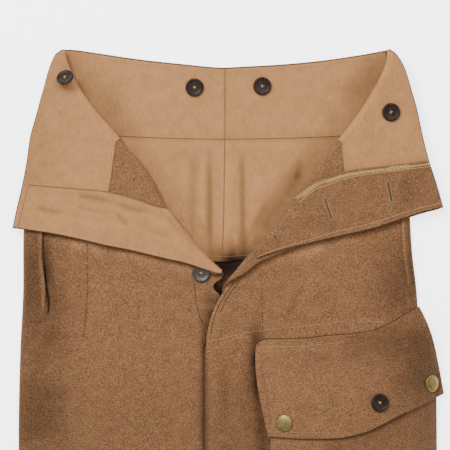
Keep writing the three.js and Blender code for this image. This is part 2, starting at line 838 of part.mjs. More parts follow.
function snapGeometry() {
  const { radius, thick } = snap;
  const profile = [
    [0, 0],
    [radius * 0.94, 0],
    [radius, thick * 0.3],
    [radius * 0.93, thick * 0.62],
    [radius * 0.6, thick * 0.92],
    [0, thick],
  ].map(([r, z]) => new THREE.Vector2(r, z));
  return new THREE.LatheGeometry(profile, 20).rotateX(Math.PI / 2);
}

// Lays a trim square on the cloth under it, as low as leaves the seam gap under its rim. over: the height
// that the cloth is looked for from. lean: which way and how far the trim tips on its thread.
function layTrim(mesh, { on, x, y, over = 100, lean = point(0, 0, 0) }, radius) {
  const caster = new THREE.Raycaster();
  const down = point(0, 0, -1);
  const clothAt = (dx, dy) => {
    caster.set(point(x + dx, y + dy, over), down);
    return caster.intersectObject(on)[0]?.point;
  };
  const r = radius * 0.7;
  const slopeX = clothAt(r, 0).sub(clothAt(-r, 0));
  const slopeY = clothAt(0, r).sub(clothAt(0, -r));
  const normal = new THREE.Vector3().crossVectors(slopeX, slopeY).normalize().add(lean).normalize();
  mesh.quaternion.setFromUnitVectors(point(0, 0, 1), normal);
  const centre = clothAt(0, 0);
  let lift = 0;
  for (const share of [0.15, 0.35, 0.5, 0.7, 0.9, 1.1, 1.3]) {
    for (let i = 0; i < 16; i++) {
      const a = (i * Math.PI) / 8;
      const spot = clothAt(radius * share * Math.cos(a), radius * share * Math.sin(a))?.sub(centre);
      if (!spot) continue;
      const height = spot.dot(normal);
      if (spot.addScaledVector(normal, -height).length() < radius) lift = Math.max(lift, height);
    }
  }
  mesh.position.copy(centre.addScaledVector(normal, lift + seam));
  return mesh;
}

// ---------- materials and assembly ----------
const cloth = (colour, roughness) =>
  new THREE.MeshStandardMaterial({ color: colour, roughness, metalness: 0, side: THREE.DoubleSide });
const serge = cloth(0x8c6240, 0.95);
const cotton = cloth(0xc49a6e, 0.85);
const horn = new THREE.MeshStandardMaterial({ color: 0x2b211e, roughness: 0.35, metalness: 0 });
const brass = new THREE.MeshStandardMaterial({ color: 0x8f8450, roughness: 0.38, metalness: 1 });

const garment = new THREE.Group();
function add(name, geometry, material) {
  const mesh = new THREE.Mesh(geometry, material);
  mesh.name = name;
  garment.add(mesh);
  return mesh;
}

for (const [name, side] of [["right", -1], ["left", 1]]) {
  const front = fronts[name];
  const panel = frontPanel(front, { waistRows: 14, flyRows: 14, overlapRows: 10, legRows: 9, middle: 5, leafColumns: 6 });
  const cut = name === "right" ? asGeometry(asSolid(panel).subtract(asSolid(mouthCutter(mouthSlit)))) : panel;
  add(`back_${name}`, backPanel(legs[name], side), serge);
  add(`front_${name}`, cut, serge);
  add(`waist_lining_back_${name}`, backWaistLining(legs[name], side), cotton);
  add(`seat_lining_${name}`, seatLining(side), cotton);
  add(`waist_lining_front_${name}`, leafLining(front, leafLinings[name]), cotton);
  add(`fly_facing_${name}`, flyFacing(front, facings[name]), name === "right" ? cotton : serge);
  add(`side_pocket_edge_${name}`, pocketEdge(front, pocketEdges[name]), serge);
}
add("map_pocket_bag", pocketBag(), serge);
add("map_pocket_flap", pocketFlap(), serge);

// Where each button and snap sits, on which piece.
const spotOnLeaf = (front, along, past) => {
  const { x, y } = onLeaf(front, along, foldArc(along) + past, onWool + drill);
  return { x, y };
};
const trims = [
  { name: "brace_button_back_right", kind: "button", on: "waist_lining_back_right", x: -33.5, y: -40 },
  { name: "brace_button_back_left", kind: "button", on: "waist_lining_back_left", x: 41, y: -38.5 },
  { name: "brace_button_front_right", kind: "button", on: "waist_lining_front_right", ...spotOnLeaf(fronts.right, 34.5, 1.8), lean: point(-0.45, 0.78, 0) },
  { name: "brace_button_front_left", kind: "button", on: "waist_lining_front_left", ...spotOnLeaf(fronts.left, 56.5, 23) },
  { name: "fly_button", kind: "button", on: "front_right", x: -26.1, y: -244, over: 11 },
  { name: "map_pocket_button", kind: "button", on: "map_pocket_flap", x: 168.5, y: -385 },
  { name: "map_pocket_snap_inner", kind: "snap", on: "map_pocket_flap", x: 65, y: -407.5 },
  { name: "map_pocket_snap_outer", kind: "snap", on: "map_pocket_flap", x: 227, y: -365.5 },
];
const shapes = {
  button: { geometry: buttonGeometry(), material: horn, radius: button.radius },
  snap: { geometry: snapGeometry(), material: brass, radius: snap.radius },
};
for (const trim of trims) {
  const { geometry, material, radius } = shapes[trim.kind];
  layTrim(add(trim.name, geometry, material), { ...trim, on: garment.getObjectByName(trim.on) }, radius);
}

// The row's origin is the middle of the garment's outline, on the surface it lies on.
const box = new THREE.Box3().setFromObject(garment, true);
const middle = box.getCenter(new THREE.Vector3());
garment.position.set(-middle.x, -middle.y, -box.min.z);

export default garment;
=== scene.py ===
import math
import bpy
import numpy as np
from mathutils import Matrix, Vector
from mathutils.bvhtree import BVHTree


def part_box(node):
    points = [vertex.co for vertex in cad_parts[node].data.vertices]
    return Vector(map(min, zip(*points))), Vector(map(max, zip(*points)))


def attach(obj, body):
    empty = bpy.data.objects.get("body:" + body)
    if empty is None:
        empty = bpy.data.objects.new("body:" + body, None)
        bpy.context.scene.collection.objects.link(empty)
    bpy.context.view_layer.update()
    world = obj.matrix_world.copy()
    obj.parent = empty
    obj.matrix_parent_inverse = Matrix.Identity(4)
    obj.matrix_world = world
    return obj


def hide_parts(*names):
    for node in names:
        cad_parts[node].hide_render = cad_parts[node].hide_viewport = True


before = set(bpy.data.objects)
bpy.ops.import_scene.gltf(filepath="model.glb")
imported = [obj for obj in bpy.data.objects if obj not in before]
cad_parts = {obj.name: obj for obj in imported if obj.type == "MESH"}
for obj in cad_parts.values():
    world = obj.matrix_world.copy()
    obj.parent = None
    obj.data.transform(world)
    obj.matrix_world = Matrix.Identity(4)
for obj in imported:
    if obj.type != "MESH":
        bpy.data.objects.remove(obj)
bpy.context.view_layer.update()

# Wool battledress trousers lying on their back, fly undone and both fronts turned back.
# The shapes are worked out in millimetres: x = 0 is the centre back seam at the waist, y = 0 is the waist at
# the side seams, z = 0 is the surface under the cloth. "Right" and "left" are the wearer's.
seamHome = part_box("back_right")[1].x + 0.00015

garment = {
    "length": 1065.0,  # down the side seam
    "crotch": 330.0,
    "wool": 2.4,
    "drill": 1.2,
    "seam": 0.3,  # air between two pieces
    "liningDeep": 90.0,
    "seatLiningEnd": 232.0,
    "edgeInset": 2.0,  # the back lining's, below the waist edge
    "leafInset": 1.8,
    "frontOverBack": 6.6,  # height of a front's mid-wall
    "foldRadius": 3.4,
    "cornerRoll": 1.8,  # how much looser the fold is at the waist corner
    "cornerReach": 25.0,
    "leafGap": 5.4,  # between the mid-walls of a front and its leaf
    "settle": 35.0,  # how far from the fold the leaf comes down
    "sideRound": 8.0,
    "foldInset": 2.5,
    "liningStart": 0.12,  # share of the fold's arc that the lining leaves free
    "cornerInset": 7.0,  # the backs' outer waist corners are cut in
    "cornerOver": 12.0,
    "legFade": 24.0,
    "tipCurve": 0.8,  # how the leaf closes towards its lower tip
    "waistSag": 5.0,  # of the waist lining's lower edge
    "waistHalf": 185.0,
    "cutEdge": 1.6,  # a rim's width on the grids
}
wool, drill, seam = garment["wool"], garment["drill"], garment["seam"]
crotch, length = garment["crotch"], garment["length"]
frontAtSeam = wool + seam + wool / 2
onBack = wool + seam
onWool = wool / 2 + seam


def mix(a, b, t):
    return a + (b - a) * t


def smooth(t):
    t = np.clip(t, 0, 1)
    return t * t * (3 - 2 * t)


def quarterRound(t):
    return np.sqrt(1 - (1 - np.clip(t, 0, 1)) ** 2)


def hump(t):
    return np.exp(-t * t)


# A smooth curve through a table's rows.
def curveThrough(rows, column=1, along=0):
    at = np.array([r[along] for r in rows], float)
    to = np.array([r[column] for r in rows], float)
    last = len(at) - 1
    before, after = np.maximum(np.arange(last + 1) - 1, 0), np.minimum(np.arange(last + 1) + 1, last)
    slope = (to[after] - to[before]) / (at[after] - at[before])

    def value(x):
        x = np.asarray(x, float)
        i = np.clip(np.searchsorted(at, x) - 1, 0, last - 1)
        step = at[i + 1] - at[i]
        t = np.clip((x - at[i]) / step, 0, 1)
        return (to[i] * (1 + 2 * t) * (1 - t) ** 2 + step * slope[i] * t * (1 - t) ** 2
                + to[i + 1] * t * t * (3 - 2 * t) - step * slope[i + 1] * t * t * (1 - t))

    return value


# Creases are rows of: from x, from y, to x, to y, bow sideways, half width, lift (minus for a trough), tone
# (painted shading: minus for painted shade, plus for painted light).
creaseEnds = {"taper": 0.28, "least": 0.2, "beyond": 1.2}


def creaseSum(rows, x, y, column):
    total = np.zeros(np.broadcast(x, y).shape)
    for row in rows:
        x0, y0, x1, y1, bow, half = row[:6]
        dx, dy = x1 - x0, y1 - y0
        reach = math.hypot(dx, dy)
        t = ((x - x0) * dx + (y - y0) * dy) / reach ** 2
        side = ((x - x0) * dy - (y - y0) * dx) / reach
        inside = np.clip(t, 0, 1)
        off = side - bow * 4 * inside * (1 - inside)
        beyond = np.maximum(np.abs(t - 0.5) - 0.5, 0) * reach
        least = creaseEnds["least"]
        taper = smooth((0.5 - np.abs(inside - 0.5)) / creaseEnds["taper"]) * (1 - least) + least
        total = total + row[column] * taper * hump(off / half) * hump(beyond / (half * creaseEnds["beyond"]))
    return total


def creaseLift(rows, x, y):
    return creaseSum(rows, x, y, 6)


# Painted shading: cloth is coloured darker in a trough and in broad bands where shade falls, and paler on a
# ridge where light falls.
def creaseShading(rows, x, y):
    return 1 + creaseSum(rows, x, y, 7)


def evenly(start, end, step):
    return np.linspace(start, end, max(int(round(abs(end - start) / step)), 1) + 1)


rimSteps = np.array([0, 0.16, 0.5, 1.2])  # grid lines where a cut edge rounds over


def withRims(values):
    start, end = values[0], values[-1]
    inner = values[(values > start + garment["cutEdge"]) & (values < end - garment["cutEdge"])]
    return np.concatenate([start + rimSteps, inner, (end - rimSteps)[::-1]])


# Share of the full wall at a distance from a cut edge.
def rimShare(distance, wall):
    return quarterRound(np.maximum(distance, 0) / min(wall / 2, 1.2))


woolLook = {
    "shades": ((0.070, 0.032, 0.0145), (0.141, 0.067, 0.0300), (0.245, 0.124, 0.0580)),
    "steps": (0.40, 0.53, 0.66), "fleck": 860.0, "cloud": 95.0, "fibre": 1500.0,
    "fleckShare": 0.70, "cloudShare": 0.10, "fibreShare": 0.56,
    "hue": 110.0, "hues": ((1.03, 0.985, 1.0), (0.975, 1.015, 0.95)), "hueSteps": (0.40, 0.62),
    "rough": 0.95, "sheen": 0.06, "bump": (0.7, 0.0009),
}
drillLook = {
    "shades": ((0.245, 0.114, 0.044), (0.300, 0.146, 0.058), (0.345, 0.172, 0.072)),
    "steps": (0.385, 0.52, 0.665), "cloud": 70.0, "slub": 700.0, "twill": 1150.0, "twillTurn": 63.0,
    "twillWaver": 1.2, "cloudShare": 0.33, "slubShare": 0.5, "twillShare": 0.2,
    "rough": 0.85, "sheen": 0.04, "bump": (0.35, 0.0004),
}
hornLook = {
    "shades": ((0.010, 0.0055, 0.0045), (0.032, 0.018, 0.013)), "steps": (0.35, 0.7),
    "grain": 260.0, "detail": 4, "grainRough": 0.6, "stretch": (1, 0.35, 1, 0.5),
    "rough": 0.36, "specular": 0.10, "bump": (0.12, 0.0002),
}
wornHornLook = {**hornLook, "specular": 0.6}
brassLook = {
    "shades": ((0.115, 0.082, 0.026), (0.225, 0.170, 0.062)), "steps": (0.32, 0.68),
    "grain": 210.0, "detail": 3, "rough": 0.42, "metal": 0.9, "specular": 0.5, "bump": (0.2, 0.0003),
}
threadLook = {
    "steps": (0.35, 0.65), "grain": 2600.0, "detail": 2, "rough": 0.8, "sheen": 0.05, "bump": (0.3, 0.0001),
}
threadColours = {
    "brown": (0.10, 0.050, 0.026),
    "tan": (0.30, 0.155, 0.070),
    "gold": (0.44, 0.28, 0.110),
    "button": (0.34, 0.215, 0.105),
    "orange": (0.42, 0.225, 0.10),
    "olive": (0.20, 0.125, 0.066),
    # The slit, seam and fold threads are dark lines laid where there is only shade: painted shade in
    # buttonhole slits, tucks and seams, and under a facing's edge.
    "slit": (0.026, 0.014, 0.008),
    "seam": (0.036, 0.017, 0.008),
    "fold": (0.17, 0.085, 0.038),
}


def newMaterial(name, rough, sheen=0.0, specular=0.12):
    material = bpy.data.materials.new(name)
    material.use_nodes = True
    nodes, links = material.node_tree.nodes, material.node_tree.links
    shader = nodes["Principled BSDF"]
    shader.inputs["Roughness"].default_value = rough
    shader.inputs["Specular IOR Level"].default_value = specular
    shader.inputs["Sheen Weight"].default_value = sheen
    shader.inputs["Sheen Roughness"].default_value = 0.5
    return material, nodes, links, shader


def noiseNode(nodes, links, source, scale, detail, rough=0.55, stretch=None):
    noise = nodes.new("ShaderNodeTexNoise")
    noise.inputs["Scale"].default_value = scale
    noise.inputs["Detail"].default_value = detail
    noise.inputs["Roughness"].default_value = rough
    if stretch:
        mapping = nodes.new("ShaderNodeMapping")
        mapping.inputs["Scale"].default_value = stretch[:3]
        mapping.inputs["Rotation"].default_value = (0, 0, stretch[3])
        links.new(source, mapping.inputs["Vector"])
        source = mapping.outputs["Vector"]
    links.new(source, noise.inputs["Vector"])
    return noise.outputs["Fac"]


def rampNode(nodes, links, source, steps, shades):
    ramp = nodes.new("ShaderNodeValToRGB")
    while len(ramp.color_ramp.elements) < len(steps):
        ramp.color_ramp.elements.new(0.5)
    for element, at, colour in zip(ramp.color_ramp.elements, steps, shades):
        element.position = at
        element.color = (*colour, 1)
    links.new(source, ramp.inputs["Fac"])
    return ramp.outputs["Color"]


# A number or an output for each of the two inputs.
def mathNode(nodes, links, kind, a, b):
    node = nodes.new("ShaderNodeMath")
    node.operation = kind
    for socket, value in zip(node.inputs, (a, b)):
        if isinstance(value, (int, float)):
            socket.default_value = value
        else:
            links.new(value, socket)
    return node.outputs[0]


# The sum of some outputs, each with its own share.
def blended(nodes, links, shares):
    total = None
    for source, share in shares:
        part = mathNode(nodes, links, "MULTIPLY", source, share)
        total = part if total is None else mathNode(nodes, links, "ADD", total, part)
    return total


def multiplied(nodes, links, colour, other):
    mixer = nodes.new("ShaderNodeMix")
    mixer.data_type = "RGBA"
    mixer.blend_type = "MULTIPLY"
    mixer.inputs["Factor"].default_value = 1
    a, b = (socket for socket in mixer.inputs if socket.type == "RGBA")
    links.new(colour, a)
    links.new(other, b)
    return next(socket for socket in mixer.outputs if socket.type == "RGBA")


# Multiplies a colour by the painted light and shade that each cloth piece keeps per point.
def withPaintedShading(nodes, links, colour):
    paintedShading = nodes.new("ShaderNodeAttribute")
    paintedShading.attribute_name = "paintedShading"
    return multiplied(nodes, links, colour, paintedShading.outputs["Color"])


def bumpNode(nodes, links, height, sizes, shader):
    bump = nodes.new("ShaderNodeBump")
    bump.inputs["Strength"].default_value, bump.inputs["Distance"].default_value = sizes
    links.new(height, bump.inputs["Height"])
    links.new(bump.outputs["Normal"], shader.inputs["Normal"])


# Heathered serge: mixed pale and dark fibres, milled so that hardly any weave shows.
def makeWool(name, look):
    material, nodes, links, shader = newMaterial(name, look["rough"], look["sheen"])
    source = nodes.new("ShaderNodeTexCoord").outputs["Object"]
    fleck = noiseNode(nodes, links, source, look["fleck"], 3, 0.65)
    cloud = noiseNode(nodes, links, source, look["cloud"], 3)
    along = noiseNode(nodes, links, source, look["fibre"], 2, 0.6, (1, 0.22, 1, 0.35))
    across = noiseNode(nodes, links, source, look["fibre"], 2, 0.6, (0.22, 1, 1, -0.3))
    fibres = mathNode(nodes, links, "MULTIPLY", along, across)
    body = blended(nodes, links, [(fleck, look["fleckShare"]), (cloud, look["cloudShare"]),
                                  (fibres, look["fibreShare"])])
    colour = rampNode(nodes, links, body, look["steps"], look["shades"])
    hue = noiseNode(nodes, links, source, look["hue"], 3, 0.6)
    colour = multiplied(nodes, links, colour, rampNode(nodes, links, hue, look["hueSteps"], look["hues"]))
    links.new(withPaintedShading(nodes, links, colour), shader.inputs["Base Color"])
    bumpNode(nodes, links, body, look["bump"], shader)
    return material


# Cotton drill: a fine diagonal rib over soft, slightly creased cloth.
def makeDrill(name, look):
    material, nodes, links, shader = newMaterial(name, look["rough"], look["sheen"])
    coords = nodes.new("ShaderNodeTexCoord")
    cloud = noiseNode(nodes, links, coords.outputs["Object"], look["cloud"], 4)
    slub = noiseNode(nodes, links, coords.outputs["Object"], look["slub"], 3, 0.6, (1, 0.25, 1, 0.6))
    turn = nodes.new("ShaderNodeMapping")
    turn.inputs["Rotation"].default_value = (0, 0, math.radians(look["twillTurn"]))
    links.new(coords.outputs["UV"], turn.inputs["Vector"])
    rib = nodes.new("ShaderNodeTexWave")
    rib.inputs["Scale"].default_value = look["twill"] / math.tau
    rib.inputs["Distortion"].default_value = look["twillWaver"]
    rib.inputs["Detail"].default_value = 1
    links.new(turn.outputs["Vector"], rib.inputs["Vector"])
    body = blended(nodes, links, [(cloud, look["cloudShare"]), (slub, look["slubShare"]),
                                  (rib.outputs["Fac"], look["twillShare"])])
    colour = rampNode(nodes, links, body, look["steps"], look["shades"])
    links.new(withPaintedShading(nodes, links, colour), shader.inputs["Base Color"])
    bumpNode(nodes, links, body, look["bump"], shader)
    return material


# Thread, horn and brass: one noise picks both the shade and the small bumps.
def makeGrained(name, look):
    material, nodes, links, shader = newMaterial(name, look["rough"], look.get("sheen", 0.0),
                                                 look.get("specular", 0.12))
    shader.inputs["Metallic"].default_value = look.get("metal", 0.0)
    source = nodes.new("ShaderNodeTexCoord").outputs["Object"]
    grain = noiseNode(nodes, links, source, look["grain"], look["detail"], look.get("grainRough", 0.55),
                      look.get("stretch"))
    colour = rampNode(nodes, links, grain, look["steps"], look["shades"])
    links.new(colour, shader.inputs["Base Color"])
    bumpNode(nodes, links, grain, look["bump"], shader)
    return material


def makeThread(kind, colour):
    shades = tuple(c * 0.75 for c in colour), tuple(min(c * 1.2, 1) for c in colour)
    return makeGrained("thread" + kind.title(), {**threadLook, "shades": shades})


woolCloth, drillCloth = makeWool("woolSerge", woolLook), makeDrill("cottonDrill", drillLook)
hornFinish, wornHorn = makeGrained("buttonHorn", hornLook), makeGrained("buttonHornWorn", wornHornLook)
brassFinish = makeGrained("snapBrass", brassLook)
threads = {kind: makeThread(kind, colour) for kind, colour in threadColours.items()}
print("materials made")


def toWorld(points):
    home = np.array([seamHome, waistHome, 0.0])
    return np.asarray(points, float) / 1000 + home


def linkedPiece(name, data):
    piece = bpy.data.objects.new(name, data)
    bpy.context.collection.objects.link(piece)
    return piece


# Points that round to the same step of a millimetre are one.
shell = {"weldSteps": 2000, "paintedShadingLimits": (0.02, 1.6)}


# A closed wall of cloth from the points of its two faces, with where each point lies in the flat cut.
def makeShell(name, inner, outer, cut, paintedShading, material, slotName):
    rows, cols = inner.shape[:2]
    points = np.concatenate([inner.reshape(-1, 3), outer.reshape(-1, 3)])
    cutAll = np.concatenate([cut.reshape(-1, 2)] * 2)
    shadingAll = np.concatenate([paintedShading.reshape(-1)] * 2)
    keys = np.round(points * shell["weldSteps"]).astype(np.int64)
    _, first, merged = np.unique(keys, axis=0, return_index=True, return_inverse=True)
    merged = merged.reshape(-1)
    grid = np.arange(rows * cols).reshape(rows, cols)
    a, b, c, d = grid[:-1, :-1], grid[:-1, 1:], grid[1:, 1:], grid[1:, :-1]
    far = rows * cols
    top = np.stack([a, d, c, b], -1).reshape(-1, 4) + far
    under = np.stack([a, b, c, d], -1).reshape(-1, 4)
    quads = [top, under]
    for line, flip in ((grid[:, 0], True), (grid[:, -1], False), (grid[0], False), (grid[-1], True)):
        p, q = line[:-1], line[1:]
        side = np.stack([p, q, q + far, p + far], -1)
        quads.append(side if flip else side[:, ::-1])
    faces, corners = [], []
    for quad in np.concatenate(quads):
        ids = merged[quad]
        keep = [i for i in range(4) if ids[i] != ids[i - 1]]
        if len(keep) >= 3 and len(set(ids[keep])) == len(keep):
            faces.append([int(ids[i]) for i in keep])
            corners.extend(int(quad[i]) for i in keep)
    world = toWorld(points[first])
    loops = np.concatenate([np.array(f) for f in faces])
    sizes = np.array([len(f) for f in faces])
    starts = np.cumsum(sizes) - sizes
    p0 = world[loops[starts]]
    volume = 0.0  # six times the signed one, which tells whether the faces look out
    for k in (1, 2):
        use = sizes > k + 1
        p1, p2 = world[loops[starts[use] + k]], world[loops[starts[use] + k + 1]]
        volume += float((p0[use] * np.cross(p1, p2)).sum())
    mesh = bpy.data.meshes.new(name)
    mesh.from_pydata(world.tolist(), [], faces)
    if volume < 0:
        mesh.flip_normals()
    layer = mesh.uv_layers.new(name="cloth")
    if volume < 0:  # flipping turns each face's corners round, its first one kept
        order = []
        for s, f in zip(starts, faces):
            order += [s] + list(range(s + len(f) - 1, s, -1))
        corners = [corners[i] for i in order]
    layer.data.foreach_set("uv", (cutAll[corners] / 1000).astype(np.float32).ravel())
    # Each point keeps its painted light and shade, which the cloth finishes multiply into their colour.
    attribute = mesh.attributes.new("paintedShading", "FLOAT_COLOR", "POINT")
    shade = np.clip(shadingAll[first], *shell["paintedShadingLimits"])
    grey = np.stack([shade, shade, shade, np.ones_like(shade)], -1).astype(np.float32)
    attribute.data.foreach_set("color", grey.ravel())
    mesh.materials.append(material)
    mesh.polygons.foreach_set("use_smooth", [True] * len(mesh.polygons))
    mesh.update()
    piece = linkedPiece(name, mesh)
    return piece


# Puts a cloth piece under the root body in place of its part, which it hides; the piece's map holds its flat
# cut.
def declareCloth(piece, node):
    mesh = piece.data
    uv = np.empty(len(mesh.loops) * 2, np.float32)
    mesh.uv_layers["cloth"].data.foreach_get("uv", uv)
    uv = uv.reshape(-1, 2)
    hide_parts(node)
    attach(piece, "root")


# The two faces of a wall about a height function, moved out square to it by the given amounts.
def faced(heightAt, x, y, off):
    e = 0.4
    z = heightAt(x, y)
    slopeX = (heightAt(x + e, y) - heightAt(x - e, y)) / (2 * e)
    slopeY = (heightAt(x, y + e) - heightAt(x, y - e)) / (2 * e)
    size = np.sqrt(1 + slopeX ** 2 + slopeY ** 2)
    return np.stack([x - off * slopeX / size, y - off * slopeY / size, z + off / size], -1)


# How far each line lies from the centre, at a number of millimetres down.
centreSeam = [(0, 0), (120, -0.5), (232, -3.5), (290, -12), (crotch, -23)]
legs = {
    "right": {
        "outer": [(0, -185.5), (26, -193.5), (50, -200), (100, -209.5), (150, -216.5), (199, -221),
                  (266, -221.5), (340, -225), (436, -226.5), (700, -224), (length, -218)],
        "inner": [(crotch, -24), (436, -24), (700, -27), (length, -28)],
    },
    "left": {
        "outer": [(0, 184.5), (26, 194), (50, 197.5), (100, 200.5), (150, 201.5), (219, 205),
                  (263, 210), (300, 212), (340, 212), (436, 214), (700, 207), (length, 194)],
        "inner": [(crotch, -20.9), (436, -20.9), (700, -14), (length, -4)],
    },
}
seamX = curveThrough(centreSeam)
for leg in legs.values():
    leg["outerX"], leg["innerX"] = curveThrough(leg["outer"]), curveThrough(leg["inner"])

# The waist edge: across, and how high.
waistTop = [(-180, 2.1), (-167, 1.9), (-159.5, 1), (-137.5, -2.4), (-93.5, -8.8), (-49.5, -13.6),
            (-5.5, -17.7), (16.5, -16.8), (60.5, -14.4), (104.5, -10.3), (148.5, -4), (170.5, 0), (180.5, 2)]
waistY = curveThrough(waistTop)
# The left back's waist corner is the highest point of its edge.
backCornerX = legs["left"]["outerX"](0) + wool / 2 - garment["cornerInset"]
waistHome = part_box("back_left")[1].y - 0.001 * float(waistY(backCornerX))


